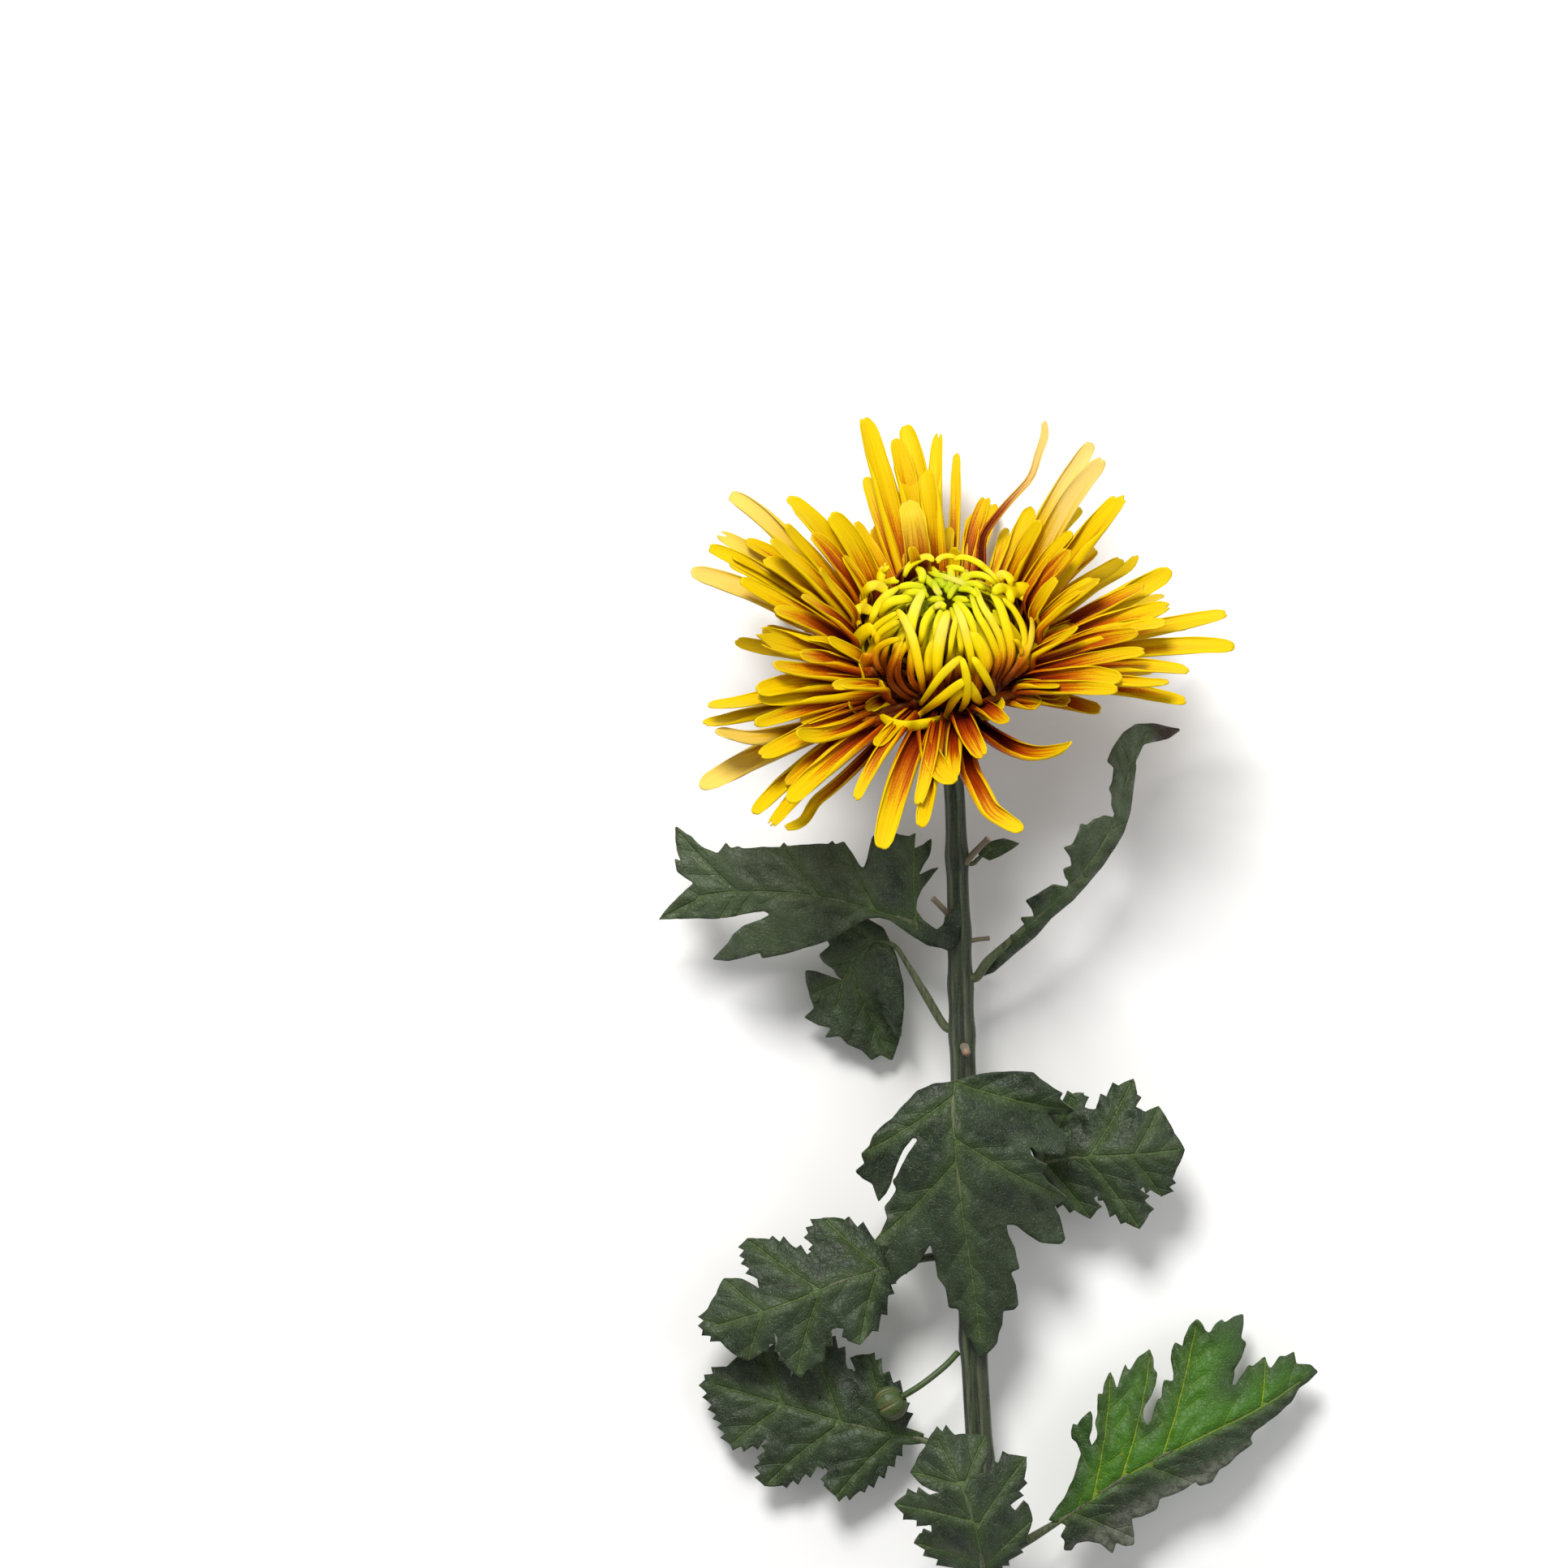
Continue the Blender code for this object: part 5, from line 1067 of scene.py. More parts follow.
def lobed_outline(leaf):
    """The outline of a lobed leaf round its midrib, for a leaf that has no outline of its own."""
    rib = spline(leaf["rib"], RIB_POINTS)
    draw = random.Random(leaf["seed"])
    sides = []
    for sign in (1.0, -1.0):
        points = []
        for share, width in LEAF_SIDE:
            shift = draw.uniform(-0.012, 0.012) if 0.0 < share < 1.0 else 0.0
            place = (share + shift) * (len(rib) - 1)
            index = min(int(place), len(rib) - 2)
            t = min(place - index, 1.0)
            centre = rib[index] + (rib[index + 1] - rib[index]) * t
            line = unit((rib[index + 1] - rib[index])[:2])
            normal = np.array((-line[1], line[0])) * sign
            reach = width * leaf["width"] * draw.uniform(0.92, 1.08)
            forward = line * (0.26 if width > 0.7 else 0.14) * reach
            points.append(centre[:2] + normal * reach + forward * (width > 0.4))
        sides.append(points)
    return sides[0] + list(reversed(sides[1]))[1:]


def toothed(outline, rib):
    """The outline with edges that bow out a little and carry teeth that point to the leaf's tip."""
    share = beside(rib, outline)[0]
    after = np.roll(outline, -1, axis=0)
    area = np.sum(outline[:, 0] * after[:, 1] - outline[:, 1] * after[:, 0])
    fine = []
    for index, (a, b) in enumerate(zip(outline, after)):
        line = b - a
        length = float(np.linalg.norm(line))
        normal = np.array((line[1], -line[0])) / max(length, 1e-6) * (1.0 if area > 0 else -1.0)
        forward = share[(index + 1) % len(outline)] >= share[index]
        teeth = int(length / TOOTH_SPACING)
        steps = max(2, int(length / EDGE_STEP))
        for step in range(steps):
            t = step / steps
            phase = (t * (teeth + 1)) % 1.0
            rise = phase if forward else 1.0 - phase
            saw = TOOTH_HEIGHT * rise ** 1.3 if teeth and 0.08 < t < 0.95 else 0.0
            fine.append(a + line * t + normal * (0.03 * length * math.sin(math.pi * t) + saw))
    return np.array(fine)


def traced_edge(places):
    """A leaf's traced edge, in millimetres from the foot, in steps short enough to bend."""
    corners = np.array([from_pixel(place) - FOOT[:2] for place in places])
    fine = []
    for a, b in zip(corners, np.roll(corners, -1, axis=0)):
        steps = max(1, int(np.linalg.norm(b - a) / EDGE_STEP))
        fine.extend(a + (b - a) * step / steps for step in range(steps))
    fine = np.array(fine)
    return 0.5 * fine + 0.25 * np.roll(fine, 1, axis=0) + 0.25 * np.roll(fine, -1, axis=0)


def grown(outline, start, way, reach, bend, others, clear):
    """A vein that grows from a point until it nears the leaf's edge or another vein."""
    line = [np.array(start)]
    angle = math.atan2(way[1], way[0])
    for _ in range(int(reach / VEIN_STEP)):
        angle += bend * VEIN_STEP
        point = line[-1] + VEIN_STEP * np.array((math.cos(angle), math.sin(angle)))
        if not within(outline, point)[0]:
            break
        far = len(line) * VEIN_STEP > 2.0
        if far and others and distance_to(others, point[None, :])[0] < clear:
            break
        line.append(point)
    return line


def leaf_veins(outline, corners, rib, draw):
    """The main veins, from the midrib to the lobes, and the side veins that branch off them."""
    flat = rib[:, :2]
    length = float(np.sum(np.linalg.norm(np.diff(flat, axis=0), axis=1)))
    share, _, offset = beside(rib, corners)
    size = np.abs(offset)
    count = len(corners)
    main = [flat[:int(0.97 * len(flat))]]
    for index in range(count):
        peak = size[index] >= size[index - 1] and size[index] > size[(index + 1) % count]
        if peak and size[index] > 0.28 * size.max():
            foot = max(0.02, share[index] - 0.62 * size[index] / length)
            start = flat[int(foot * (len(flat) - 1))]
            tip = corners[index]
            t = np.linspace(0.0, 0.95, max(4, int(np.linalg.norm(tip - start) / VEIN_STEP)))[:, None]
            back = 0.10 * (tip - start)[::-1] * (-1.0, 1.0) * np.sign(offset[index])
            line = start + (tip - start) * t - back * t * (1 - t)
            keep = np.logical_and.accumulate(within(outline, line) | (np.arange(len(line)) < 3))
            if keep.sum() > 3:
                main.append(line[keep])
    side = []
    for number, line in enumerate(main):
        ways = np.gradient(line, axis=0)
        gap = SIDE_VEIN_GAP if number else 1.3 * SIDE_VEIN_GAP
        steps = np.concatenate(([0.0], np.cumsum(np.linalg.norm(np.diff(line, axis=0), axis=1))))
        place = gap * draw.uniform(0.5, 0.9)
        sign = 1.0
        while place < steps[-1] - 1.0:
            index = int(np.searchsorted(steps, place))
            angle = math.atan2(ways[index][1], ways[index][0]) + sign * math.radians(draw.uniform(36, 48))
            way = (math.cos(angle), math.sin(angle))
            reach = draw.uniform(6.0, 11.0)
            rest = [other for other in main if other is not line]
            side.append(grown(outline, line[index], way, reach, -sign * 0.02, rest, 1.2))
            sign = -sign
            place += gap * draw.uniform(0.35, 0.65)
    return main, [line for line in side if len(line) > 3]


def leaf_heights(leaf, points, rib):
    """The height of a leaf's blade: the midrib's height, the fold beside it and the edge's waves."""
    share, place, offset = beside(rib, points)
    left, right = leaf["fold"]
    size = np.abs(offset)
    slope = np.where(offset > 0.0, left, right)
    phase = np.where(offset > 0.0, 1.2, 3.4)
    wave = leaf["wave"] * np.sin(share * 17.0 + phase) * (size / 12.0) ** 2
    return lifted(place[:, 2] + slope * size + leaf["curl"] * size * size + wave, LEAF_FLOOR, 2.0)


def leaf_blade(name, leaf, seed, materials):
    """A leaf's blade with its veins sunk in it, quilted between them, and toothed round its edge."""
    draw = random.Random(seed)
    corners = np.array(leaf.get("outline") or lobed_outline(leaf), dtype=float)
    rib = spline(leaf["rib"], RIB_POINTS)
    outline = traced_edge(LEAF_EDGES[name]) if name in LEAF_EDGES else toothed(corners, rib)
    main, side = leaf_veins(outline, corners, rib, draw)
    points = [tuple(point) for point in outline]
    edges = [(i, (i + 1) % len(points)) for i in range(len(points))]
    for line in main + side:
        first = len(points)
        points.extend(tuple(point) for point in line)
        edges.extend((first + i, first + i + 1) for i in range(len(line) - 1))
    low, high = outline.min(axis=0), outline.max(axis=0)
    grid = []
    for row, y in enumerate(np.arange(low[1], high[1], 0.87 * LEAF_GRID)):
        for x in np.arange(low[0] + 0.5 * LEAF_GRID * (row % 2), high[0], LEAF_GRID):
            grid.append((x + draw.uniform(-0.1, 0.1), y + draw.uniform(-0.1, 0.1)))
    grid = np.array(grid)
    grid = grid[within(outline, grid)]
    far = (distance_to([np.vstack((outline, outline[:1]))], grid) > 0.4 * LEAF_GRID) \
        & (distance_to(main + side, grid) > 0.45 * LEAF_GRID)
    points.extend(tuple(point) for point in grid[far])
    found = delaunay_2d_cdt(points, edges, [], 1, 1e-4)
    flat = np.array([tuple(point) for point in found[0]])
    used = sorted({index for face in found[2] for index in face})
    order = {index: place for place, index in enumerate(used)}
    flat = flat[used]
    faces = [[order[index] for index in face] for face in found[2]]
    share, _, offset = beside(rib, flat)
    d_main = distance_to(main, flat)
    d_side = distance_to(side, flat)
    d_edge = distance_to([np.vstack((outline, outline[:1]))], flat)
    height = leaf_heights(leaf, flat, rib)
    nearest = np.minimum(d_main, 1.3 * d_side)
    height = height + QUILTING * (1.0 - np.exp(-nearest / 2.0)) - GROOVE * np.exp(-(d_main / 0.7) ** 2)
    sway = np.sin(flat[:, 0] * 0.31 + seed) * np.sin(flat[:, 1] * 0.37 + 2 * seed)
    height = height + 0.35 * sway + 0.5 * np.exp(-d_edge / 2.0) * np.sin(flat @ (0.9, 0.7) + seed)
    height = np.maximum(height, 0.45)
    solid = np.stack((FOOT[0] + flat[:, 0], FOOT[1] + flat[:, 1], height), axis=1)
    shell = Shell()
    shell.add(solid, [faces], vein=np.stack((d_main, d_side, d_edge), axis=1),
              place=np.stack((share, offset / 20.0, np.full(len(flat), seed * 0.137)), axis=1))
    blade = shell.made(name + "_blade", materials)
    thick = blade.modifiers.new("thickness", "SOLIDIFY")
    thick.thickness = LEAF_THICKNESS * MM
    thick.offset = 0.0
    thick.material_offset = 1
    thick.material_offset_rim = 1
    graph = bpy.context.evaluated_depsgraph_get()
    mesh = bpy.data.meshes.new_from_object(blade.evaluated_get(graph))
    blade.modifiers.clear()
    blade.data = mesh
    return blade


def leaf_stalk(name, leaf, materials):
    """The leaf's stalk, which goes on as the midrib under the blade."""
    rib = spline(leaf["rib"], RIB_POINTS)
    sizes = np.linspace(0.62 * leaf["thick"], 0.24, 8)
    under = [point - np.array((0.0, 0.0, 0.75 * size + 0.15)) for point, size in zip(rib[3:38:5], sizes)]
    first = leaf["stalk"][0]
    joint = tuple(stem_centre(first[1])[0] * (1.0 - STALK_JOINT) + np.array(first) * STALK_JOINT)
    path = np.array([on_surface(p) for p in spline([joint] + list(leaf["stalk"]) + under, 48)])
    path[:, 2] = np.maximum(path[:, 2], 0.6)
    count = len(leaf["stalk"]) + 1
    radii = [leaf["thick"]] * count + list(sizes[:len(under)])
    radii = np.interp(np.linspace(0.0, 1.0, 48), np.linspace(0.0, 1.0, len(radii)), radii)
    shell = Shell()
    tube(shell, path, radii, 12, (0.3, 0.0, 0.0))
    return shell.made(name, materials)


def hairs(name, bases, normals, lengths, materials):
    """Short pointed hairs that stand on a surface."""
    shell = Shell()
    draw = random.Random(41)
    corner = [(0, 1, 3), (1, 2, 3), (2, 0, 3), (2, 1, 0)]
    for base, normal, length in zip(bases, normals, lengths):
        lean = np.array([draw.uniform(-0.5, 0.5) for _ in range(3)])
        way = unit(normal + lean)
        right = unit(np.cross(way, (0.31, 0.52, 0.79)))
        over = np.cross(way, right)
        start = base - normal * 0.05
        points = np.array((start + right * HAIR_RADIUS, start - 0.5 * HAIR_RADIUS * right + HAIR_RADIUS * over,
                           start - 0.5 * HAIR_RADIUS * right - HAIR_RADIUS * over, start + way * length))
        shell.add(points, [corner])
    return shell.made(name, materials)


def hairs_on(made, name, count, longest, materials):
    """Hairs at seeded places on a made object's surface."""
    mesh = made.data
    draw = random.Random(len(mesh.vertices))
    chosen = [draw.randrange(len(mesh.polygons)) for _ in range(count)]
    bases = [np.array(mesh.polygons[i].center) / MM for i in chosen]
    normals = [np.array(mesh.polygons[i].normal) for i in chosen]
    lengths = [longest * draw.uniform(0.5, 1.0) for _ in chosen]
    return hairs(name, bases, normals, lengths, materials)


# Materials

def colour(red, green, blue):
    """A display colour from 0 to 255 as the linear colour that a shader takes."""
    return (*((value / 255.0) ** 2.2 for value in (red, green, blue)), 1.0)


class Graph:
    """A material whose nodes are added here and joined to its Principled shader."""

    def __init__(self, name, roughness):
        self.material = bpy.data.materials.new(name)
        self.material.use_nodes = True
        self.tree = self.material.node_tree
        self.shader = self.tree.nodes["Principled BSDF"]
        self.shader.inputs["Roughness"].default_value = roughness

    def put(self, socket, value):
        if isinstance(value, bpy.types.NodeSocket):
            self.tree.links.new(value, socket)
        else:
            socket.default_value = value

    def node(self, kind, settings=(), **inputs):
        made = self.tree.nodes.new(kind)
        for name, value in dict(settings).items():
            setattr(made, name, value)
        for name, value in inputs.items():
            self.put(made.inputs[name.replace("_", " ")], value)
        return made

    def attribute(self, name):
        """The three numbers of a vertex attribute."""
        read = self.node("ShaderNodeAttribute", {"attribute_name": name})
        return self.parts(read.outputs["Vector"])

    def parts(self, vector):
        split = self.node("ShaderNodeSeparateXYZ", Vector=vector)
        return split.outputs[0], split.outputs[1], split.outputs[2]

    def math(self, operation, a, b=0.0, c=0.0, clamp=False):
        made = self.node("ShaderNodeMath", {"operation": operation, "use_clamp": clamp})
        for socket, value in zip(made.inputs, (a, b, c)):
            self.put(socket, value)
        return made.outputs[0]

    def sum(self, *terms):
        total = terms[0]
        for term in terms[1:]:
            total = self.math("ADD", total, term)
        return total

    def times(self, a, b):
        return self.math("MULTIPLY", a, b)

    def vector(self, x, y, z):
        return self.node("ShaderNodeCombineXYZ", X=x, Y=y, Z=z).outputs[0]

    def surface(self, stretch=(1.0, 1.0, 1.0)):
        """The place on the object in millimetres, stretched along each direction."""
        here = self.node("ShaderNodeTexCoord").outputs["Object"]
        return self.scaled(here, tuple(value / MM for value in stretch))

    def scaled(self, vector, scale):
        made = self.node("ShaderNodeVectorMath", {"operation": "MULTIPLY"})
        self.put(made.inputs[0], vector)
        made.inputs[1].default_value = scale
        return made.outputs[0]

    def noise(self, vector, scale=1.0, detail=3.0, distortion=0.0):
        made = self.node("ShaderNodeTexNoise", Vector=vector, Scale=scale, Detail=detail,
                         Distortion=distortion)
        return made.outputs["Fac"]

    def between(self, value, low, high, start=0.0, end=1.0):
        """The value's smooth way from low to high, as a number from start to end."""
        made = self.node("ShaderNodeMapRange", {"interpolation_type": "SMOOTHSTEP"})
        for socket, given in zip(made.inputs, (value, low, high, start, end)):
            self.put(socket, given)
        return made.outputs[0]

    def distance(self, point):
        """How far the surface is, in millimetres, from a point."""
        made = self.node("ShaderNodeVectorMath", {"operation": "DISTANCE"})
        self.put(made.inputs[0], self.surface())
        made.inputs[1].default_value = tuple(point)
        return made.outputs["Value"]

    def ramp(self, value, stops):
        made = self.node("ShaderNodeValToRGB", Fac=value)
        marks = made.color_ramp.elements
        marks[0].position, marks[0].color = stops[0][0], colour(*stops[0][1])
        marks[1].position, marks[1].color = stops[-1][0], colour(*stops[-1][1])
        for place, shade in stops[1:-1]:
            marks.new(place).color = colour(*shade)
        return made.outputs["Color"]

    def mix(self, factor, a, b, kind="MIX"):
        made = self.node("ShaderNodeMix", {"data_type": "RGBA", "blend_type": kind})
        self.put(made.inputs[0], factor)
        self.put(made.inputs[6], a)
        self.put(made.inputs[7], b)
        return made.outputs[2]

    def bump(self, height, depth):
        """Relief of a depth in millimetres from a height that runs from 0 to 1."""
        made = self.node("ShaderNodeBump", Height=height, Distance=depth * MM, Strength=1.0)
        self.put(self.shader.inputs["Normal"], made.outputs[0])

    def finish(self, shade, roughness=None):
        self.put(self.shader.inputs["Base Color"], shade)
        if roughness is not None:
            self.put(self.shader.inputs["Roughness"], roughness)
        return self.material


def petal_material(name, stops, inner_shift, dome):
    """A petal: red-brown at its root to yellow at its tip, in fine streaks along its length; with painted
    shade near the foot and at the dome's margins, and painted highlights in pale cream.
    """
    g = Graph(name, PETAL_ROUGHNESS)
    along, across, inner = g.attribute("place")
    seed, red, pale = g.attribute("kind")
    offset = g.times(seed, 57.0)
    fine = g.noise(g.vector(g.times(across, 16.0), g.times(along, 1.8), offset), detail=4.0)
    broad = g.noise(g.vector(g.times(across, 3.0), g.times(along, 2.6), g.sum(offset, 9.0)))
    grains = g.noise(g.surface((2.6, 2.6, 2.6)), detail=2.0)
    margin = g.math("POWER", g.math("ABSOLUTE", across), 2.5)
    from_foot = g.distance(bloom_point(0.0, 0.0, 3.0))
    if dome:
        from_foot = g.distance(FOOT + np.array(DOME_ROOTS[0]))
        for root in DOME_ROOTS[1:]:
            from_foot = g.math("MINIMUM", from_foot, g.distance(FOOT + np.array(root)))
    if dome:
        place = g.sum(g.between(from_foot, DOME_RED[0], DOME_RED[1], 0.0, 0.9),
                      g.times(g.math("MINIMUM", red, 0.0), -1.5))
        place = g.math("MINIMUM", place, g.sum(g.times(g.math("SUBTRACT", along, red), 2.0), 0.5))
    else:
        place = g.sum(g.times(g.math("SUBTRACT", along, red), 1.4), 0.5)
    place = g.sum(place, g.times(g.math("SUBTRACT", fine, 0.5), 0.60))
    place = g.sum(place, g.times(g.math("SUBTRACT", broad, 0.5), 0.55))
    place = g.sum(place, g.times(g.math("SUBTRACT", grains, 0.5), 0.22))
    place = g.sum(place, g.times(margin, 0.05 if dome else 0.24))
    place = g.sum(place, g.times(g.math("SUBTRACT", 1.0, inner), inner_shift))
    shade = g.ramp(place, stops)
    if dome:
        near = g.sum(g.distance(bloom_point(0.0, 0.0, DOME_APEX)),
                     g.times(g.math("SUBTRACT", broad, 0.5), 8.0))
        shade = g.mix(g.between(near, 20.0, 8.0, 0.0, 0.6), shade, colour(*LIME))
        shade = g.mix(g.between(near, 10.0, 2.0, 0.0, 0.8), shade, colour(*APEX_GREEN))
        # Painted highlight: pale cream laid along the middle of a dome petal, as strong as its pale share
        painted_highlight_band = g.times(pale, g.times(g.between(along, 0.35, 0.7), g.between(along, 1.0, 0.75)))
        shade = g.mix(g.times(painted_highlight_band, 0.6), shade, colour(*PAINTED_HIGHLIGHT_CREAM))
    else:
        # Painted highlight: a pale cream patch towards an outer petal's end, as strong as its pale share
        painted_highlight_patch = g.between(g.sum(along, g.times(g.math("SUBTRACT", broad, 0.5), 0.6)), 0.62, 0.86)
        shade = g.mix(g.times(painted_highlight_patch, pale), shade, colour(*PAINTED_HIGHLIGHT_CREAM))
    # Rim: on the dome the petals' margins are darkened as painted shade between them; on the outer petals the
    # margins are made a little lighter, like their yellower edges
    rim = g.times(g.math("POWER", g.math("ABSOLUTE", across), 3.0), -0.16 if dome else 0.06)
    light = g.sum(0.92, g.times(fine, 0.16), rim)
    # Painted shade: the petals darken towards the bloom's foot, where they crowd; petals whose red is below
    # zero lie on top and keep out of it
    deep = g.between(from_foot, *((2.0, 12.0, 0.4, 1.0) if dome else (7.0, 29.0, FOOT_PAINTED_SHADE, 1.0)))
    light = g.times(light, g.math("MAXIMUM", deep, g.between(red, 0.0, -0.25)))
    shade = g.mix(1.0, shade, g.vector(light, light, light), "MULTIPLY")
    g.bump(g.sum(g.times(fine, 0.75), g.times(grains, 0.25)), 0.16)
    g.shader.inputs["Specular IOR Level"].default_value = PETAL_SHINE
    g.shader.inputs["Specular Tint"].default_value = colour(255, 226, 130)
    g.shader.inputs["Subsurface Weight"].default_value = PETAL_SUBSURFACE
    g.shader.inputs["Subsurface Radius"].default_value = (1.0, 0.45, 0.12)
    g.shader.inputs["Subsurface Scale"].default_value = 1.6 * MM
    return g.finish(shade, g.sum(PETAL_ROUGHNESS - 0.08, g.times(broad, 0.16)))


def leaf_material(name, dark, light, vein_shade, glow, speckle):
    """A leaf's face: mottled green, paler veins with a fine net between them, and short hairs; with a painted
    grey sheen, and a painted glow where it is lit from behind.
    """
    g = Graph(name, LEAF_ROUGHNESS)
    d_main, d_side, d_edge = g.attribute("vein")
    share, flank, _ = g.attribute("place")
    # Marks of the leaf: how far it is lit from behind, painted as a glow; where its tip turns brown; how much
    # painted grey sheen it has
    backlit_leaf, brown, grey = g.attribute("kind")
    spot = g.surface()
    broad = g.noise(spot, 0.11, 3.0)
    middle = g.noise(spot, 0.55, 4.0)
    grain = g.noise(spot, 3.4, 2.0)
    warped = g.node("ShaderNodeVectorMath", {"operation": "ADD"})
    g.put(warped.inputs[0], spot)
    g.put(warped.inputs[1], g.vector(middle, g.noise(spot, 0.7, 2.0), 0.0))
    cells = g.node("ShaderNodeTexVoronoi", {"feature": "DISTANCE_TO_EDGE"}, Vector=warped.outputs[0],
                   Scale=0.62)
    net = g.between(cells.outputs["Distance"], 0.0, 0.10, 1.0, 0.0)
    main = g.between(d_main, 0.10, 0.42, 1.0, 0.0)
    side = g.between(d_side, 0.04, 0.26, 1.0, 0.0)
    shade = g.mix(g.between(g.sum(g.times(broad, 0.6), g.times(middle, 0.4)), 0.36, 0.64),
                  colour(*dark), colour(*light))
    shade = g.mix(g.times(g.between(d_main, 0.3, 3.6, 1.0, 0.0), glow), shade, colour(*vein_shade))
    shade = g.mix(g.times(net, 0.10), shade, colour(*vein_shade))
    shade = g.mix(g.times(side, 0.22), shade, colour(*vein_shade))
    shade = g.mix(g.times(main, 0.65), shade, colour(*vein_shade))
    # Painted sheen: a grey highlight over the leaf's face, growing towards its tip
    painted_sheen = g.times(grey, g.between(g.sum(share, g.times(g.math("SUBTRACT", broad, 0.5), 0.9)), 0.15, 0.6))
    shade = g.mix(g.times(painted_sheen, g.sum(0.45, g.times(middle, 0.5))), shade, colour(*PAINTED_SHEEN_GREY))
    # Painted glow: where the leaf is lit from behind, its left side is painted bright green, paler on the
    # veins, darker away from the midrib and fainter at the edge
    lit = g.times(g.times(backlit_leaf, g.between(flank, -0.10, 0.06)), g.between(d_edge, -1.0, 7.0, 0.25, 1.0))
    glowing = g.mix(g.times(g.sum(g.times(net, 0.3), side), 0.35), colour(*LIT_GREEN), colour(*LIT_VEIN))
    far = g.between(g.sum(d_main, g.times(g.math("SUBTRACT", broad, 0.5), 10.0)), 2.0, 16.0, 0.0, 0.75)
    glowing = g.mix(far, glowing, colour(*LIT_DARK))
    shade = g.mix(lit, shade, g.mix(main, glowing, colour(*LIT_VEIN)))
    folded = g.times(g.times(backlit_leaf, g.between(flank, -0.25, -0.45)), g.between(middle, 0.35, 0.6, 0.4, 0.9))
    shade = g.mix(folded, shade, colour(*FOLD_GREY))
    shade = g.mix(g.times(g.between(grain, 0.60, 0.72), speckle), shade, colour(*HAIR_GREY))
    burnt = g.between(g.sum(share, g.times(g.math("SUBTRACT", middle, 0.5), 0.1)), brown,
                      g.sum(brown, 0.07))
    shade = g.mix(burnt, shade, colour(*BURNT_BROWN))
    valley = g.sum(g.between(d_side, 0.0, 2.4, -0.9, 0.0), g.between(d_main, 0.0, 2.0, -0.7, 0.0))
    sunk = g.sum(g.times(main, -0.6), g.times(side, -0.35), g.times(net, -0.18), g.times(grain, 0.22), valley)
    g.bump(g.sum(sunk, g.times(middle, 0.8)), 0.42)
    g.shader.inputs["Sheen Weight"].default_value = 0.10
    g.shader.inputs["Specular IOR Level"].default_value = 0.35
    g.shader.inputs["Sheen Roughness"].default_value = 0.45
    g.shader.inputs["Sheen Tint"].default_value = colour(175, 185, 170)
    return g.finish(shade, g.sum(LEAF_ROUGHNESS - 0.1, g.times(middle, 0.2)))


def stem_material():
    """Ribbed grey-green skin, browner low down, with dry stubs that show a pinkish cut."""
    g = Graph("stem_skin", 0.55)
    _, ridge, cap = g.attribute("place")
    _, stub, _ = g.attribute("kind")
    streak = g.noise(g.surface((1.6, 0.07, 1.6)), 1.0, 4.0)
    blotch = g.noise(g.surface(), 0.16, 3.0)
    grain = g.noise(g.surface(), 3.8, 2.0)
    _, along, _ = g.parts(g.surface())
    shade = g.mix(g.between(streak, 0.38, 0.62), colour(*STEM_DARK), colour(*STEM_LIGHT))
    crest = g.times(g.between(ridge, 0.3, 1.0, 0.0, 0.8), g.between(streak, 0.30, 0.60, 0.3, 1.0))
    shade = g.mix(crest, shade, colour(*STEM_RIDGE))
    brown = g.times(g.between(g.sum(along, g.times(blotch, 60.0)), 20.0, -150.0), 0.5)
    shade = g.mix(brown, shade, colour(*STEM_BROWN))
    dry = g.mix(blotch, colour(*STUB_GREY), colour(*STUB_BROWN))
    shade = g.mix(stub, shade, dry)
    shade = g.mix(cap, shade, colour(*CUT_PINK))
    shade = g.mix(g.times(g.between(grain, 0.60, 0.70), 0.25), shade, colour(*HAIR_GREY))
    g.bump(g.sum(g.times(streak, 0.7), g.times(grain, 0.3)), 0.22)
    g.shader.inputs["Sheen Weight"].default_value = 0.15
    return g.finish(shade, g.sum(0.48, g.times(blotch, 0.16)))


def sepal_material():
    """Green bracts and sepals with darker middles and thin papery margins."""
    g = Graph("sepal", 0.5)
    along, across, _ = g.attribute("place")
    _, bract, _ = g.attribute("kind")
    grain = g.noise(g.surface(), 1.4, 3.0)
    margin = g.times(g.between(g.math("ABSOLUTE", across), 0.62, 0.98), bract)
    tip = g.times(g.between(along, 0.88, 1.0), bract)
    shade = g.mix(grain, colour(38, 54, 26), colour(72, 90, 40))
    shade = g.mix(g.math("MAXIMUM", margin, g.times(tip, 0.7)), shade, colour(116, 104, 66))
    g.bump(grain, 0.15)
    return g.finish(shade)


def hair_material():
    g = Graph("plant_hair", 0.5)
    grain = g.noise(g.surface(), 0.5, 2.0)
    return g.finish(g.mix(grain, colour(128, 140, 118), colour(176, 184, 164)))


def core_material():
    """The crowded feet of the petals, seen between them."""
    g = Graph("petal_feet", 0.6)
    grain = g.noise(g.surface(), 1.2, 3.0)
    g.bump(grain, 0.3)
    return g.finish(g.mix(grain, colour(80, 34, 18), colour(150, 78, 26)))


# Table, light and camera

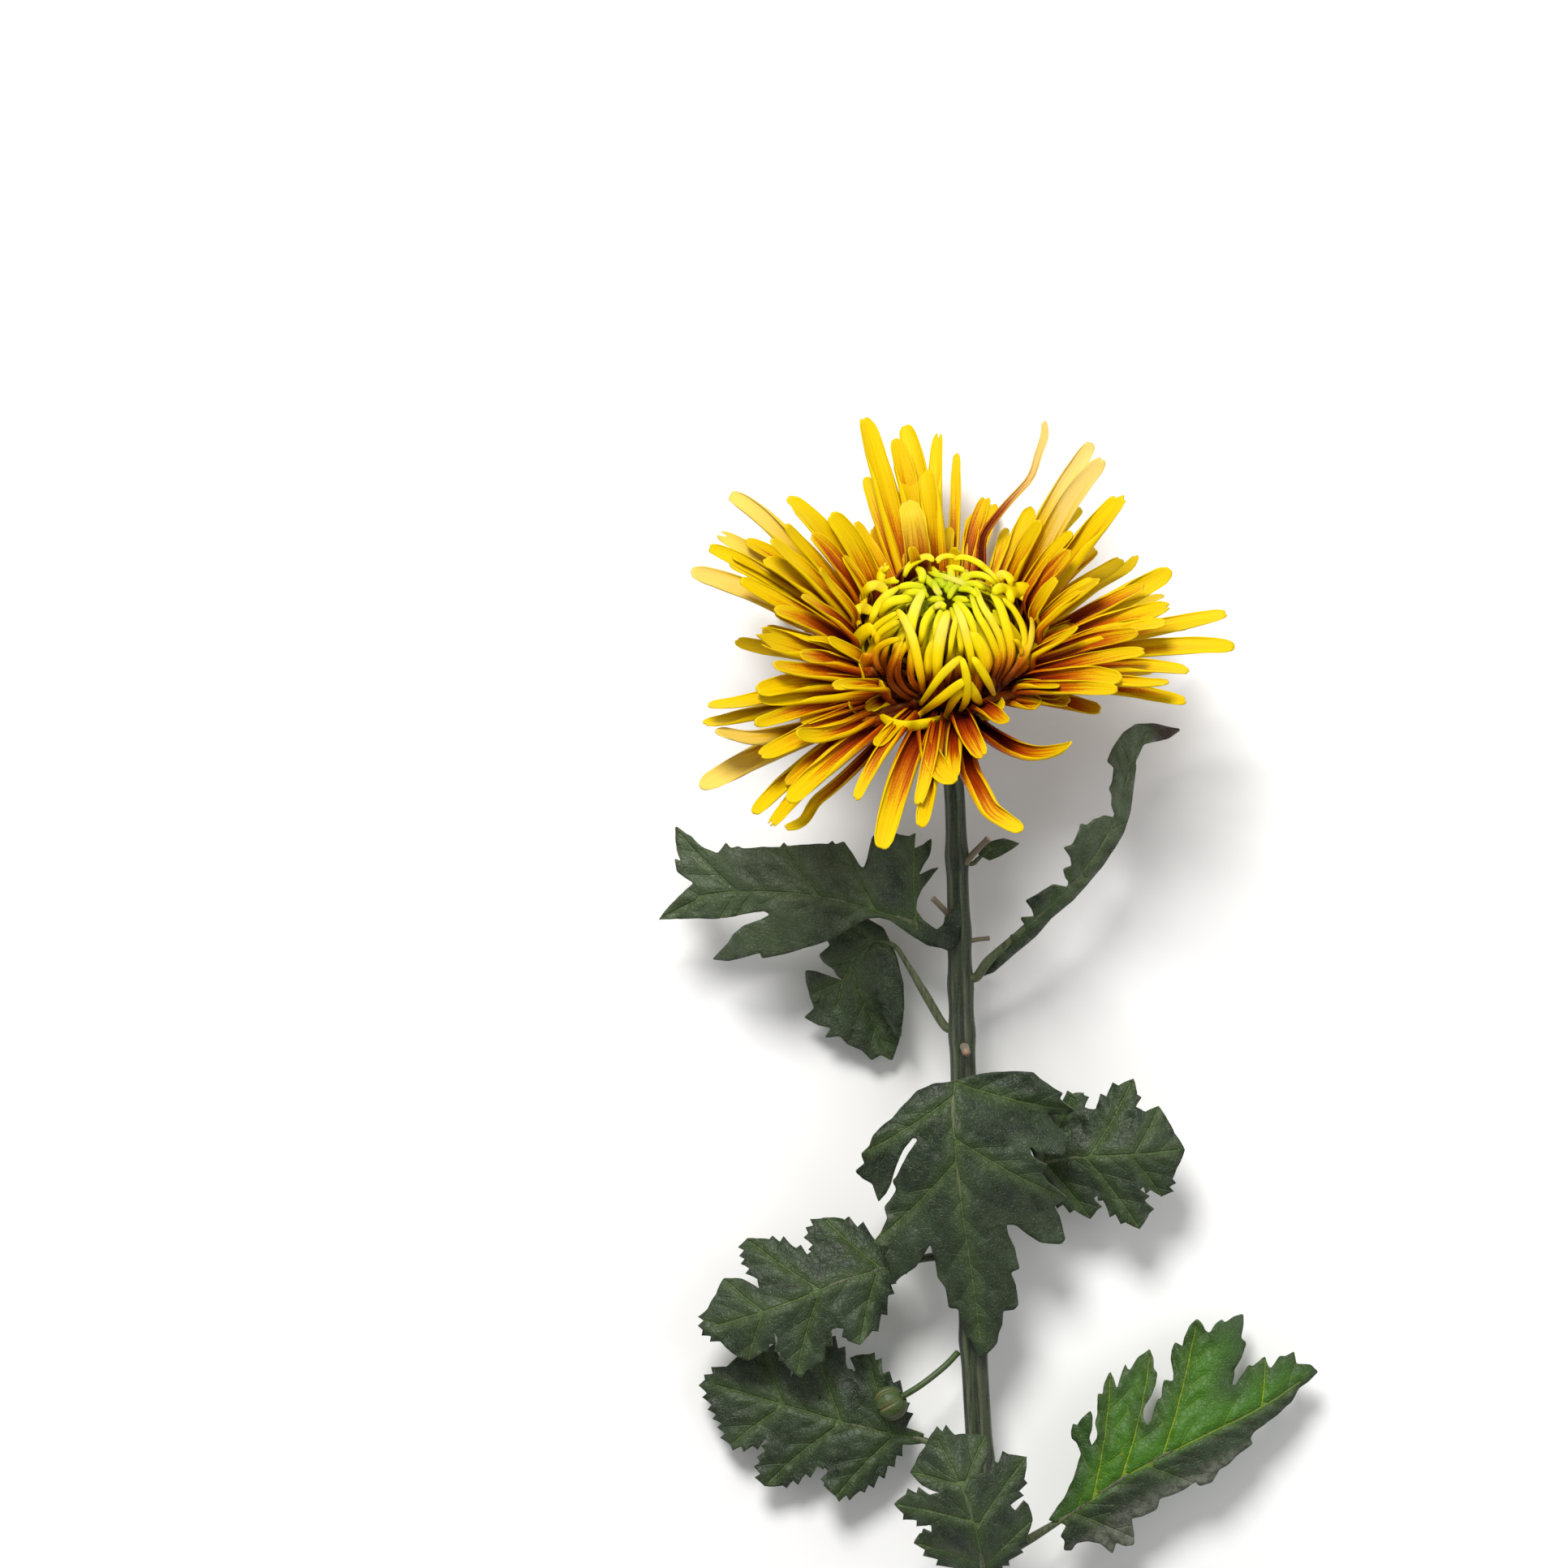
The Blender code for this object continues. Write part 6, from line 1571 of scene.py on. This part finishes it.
def add_stage():
    """A plain pale table top."""
    mesh = bpy.data.meshes.new("table_top")
    reach = TABLE_REACH * MM
    mesh.from_pydata([(-reach, -reach, 0.0), (reach, -reach, 0.0), (reach, reach, 0.0), (-reach, reach, 0.0)],
                     [], [(0, 1, 2, 3)])
    table = bpy.data.objects.new("table_top", mesh)
    table.location.z = -0.05 * MM
    bpy.context.scene.collection.objects.link(table)
    g = Graph("table_paper", 0.85)
    grain = g.noise(g.surface(), 0.02, 3.0)
    mesh.materials.append(g.finish(g.mix(grain, colour(*TABLE_WHITE), colour(*TABLE_SHADE))))


def area_light(name, place, target, size, power, tint):
    light = bpy.data.lights.new(name, "AREA")
    light.shape = "DISK"
    light.size = size * MM
    light.energy = power
    light.color = tint
    made = bpy.data.objects.new(name, light)
    start = Vector(place) * MM
    made.location = start
    made.rotation_euler = (Vector(target) * MM - start).to_track_quat("-Z", "Y").to_euler()
    bpy.context.scene.collection.objects.link(made)


def add_light():
    world = bpy.data.worlds.new("studio")
    world.use_nodes = True
    background = world.node_tree.nodes["Background"]
    background.inputs["Color"].default_value = (1.0, 1.0, 1.0, 1.0)
    background.inputs["Strength"].default_value = WORLD_STRENGTH
    bpy.context.scene.world = world
    for name, place, size, power, tint in LIGHTS:
        area_light(name, place, (-20.0, 100.0, 30.0), size, power, tint)
    view = bpy.context.scene.view_settings
    view.view_transform = "Standard"
    view.look = "None"
    view.exposure = 0.0


def add_camera():
    """A camera that looks straight down, with the foot of the bloom at its pixel."""
    right = (PHOTO_WIDTH / 2.0 - FOOT_PIXEL[0]) * MM_PER_PIXEL
    up = (FOOT_PIXEL[1] - PHOTO_HEIGHT / 2.0) * MM_PER_PIXEL
    camera = bpy.data.cameras.new("camera")
    camera.sensor_fit = "HORIZONTAL"
    camera.sensor_width = SENSOR_WIDTH
    camera.lens = SENSOR_WIDTH * CAMERA_DISTANCE / (PHOTO_WIDTH * MM_PER_PIXEL)
    camera.clip_start = 0.01
    made = bpy.data.objects.new("camera", camera)
    made.location = Vector((FOOT[0] + right, FOOT[1] + up, FOOT[2] + CAMERA_DISTANCE)) * MM
    bpy.context.scene.collection.objects.link(made)
    bpy.context.scene.camera = made


def dress(made, slot, *nodes):
    """Says where a piece belongs: the body it rides on and the nodes it stands for; the finish slot is not
    used.
    """
    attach(made, "root")
    if nodes:
        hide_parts(*nodes)


def dress_bloom():
    yellow = petal_material("outer_petal_skin", OUTER_STOPS, 0.08, False)
    lime = petal_material("inner_petal_skin", INNER_STOPS, 0.10, True)
    sepal = sepal_material()
    core = core_material()
    for made in outer_petals([yellow]):
        dress(made, "outer_petal", "outer_petals")
    dress(inner_petals([lime]), "inner_petal", "inner_petals")
    feet = Shell()
    turned(feet, OUTER_CORE, OUTER_CORE_ENDS, (0.0, 0.0, 0.0))
    dress(feet.made("petal_feet_outer", [core]), "outer_petal", "outer_petals")
    feet = Shell()
    turned(feet, INNER_CORE, INNER_CORE_ENDS, (0.0, 0.0, 0.0))
    dress(feet.made("petal_feet_inner", [core]), "inner_petal", "inner_petals")
    dress(calyx([sepal]), "leaf_green", "calyx")
    dress(bud([sepal]), "stem_green", "bud")


def dress_stem():
    skin = stem_material()
    hair = hair_material()
    made = stem([skin])
    dress(made, "stem_green", "stem")
    dress(hairs_on(made, "stem_hairs", STEM_HAIRS, 0.75, [hair]), "stem_green", "stem")
    return skin, hair


def dress_leaves(skin, hair):
    upper = leaf_material("leaf_face", (25, 35, 22), (44, 57, 37), (74, 94, 44), 0.34, 0.45)
    under = leaf_material("leaf_back", (60, 72, 46), (80, 90, 62), (108, 120, 72), 0.25, 0.30)
    for number, (name, leaf) in enumerate(LEAVES.items()):
        blade = leaf_blade(name, leaf, number + 1, [upper, under])
        mark = LEAF_MARKS.get(name, PLAIN_MARKS)
        layer = blade.data.attributes.new("kind", "FLOAT_VECTOR", "POINT")
        row = np.tile(mark, (len(blade.data.vertices), 1))
        layer.data.foreach_set("vector", row.astype(np.float32).ravel())
        dress(blade, "leaf_green", name)
        dress(leaf_stalk(name + "_stalk", leaf, [skin]), "leaf_green", name)
        dress(hairs_on(blade, name + "_hairs", LEAF_HAIRS, 0.4, [hair]), "leaf_green", name)


def main():
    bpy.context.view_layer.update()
    add_camera()
    add_light()
    add_stage()
    dress_bloom()
    skin, hair = dress_stem()
    dress_leaves(skin, hair)
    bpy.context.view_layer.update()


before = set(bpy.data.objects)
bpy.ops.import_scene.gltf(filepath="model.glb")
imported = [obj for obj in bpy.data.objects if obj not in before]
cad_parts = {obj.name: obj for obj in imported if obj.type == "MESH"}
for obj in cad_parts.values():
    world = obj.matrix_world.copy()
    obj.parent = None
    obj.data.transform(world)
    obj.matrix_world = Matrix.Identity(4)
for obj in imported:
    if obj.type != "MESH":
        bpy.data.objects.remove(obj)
main()
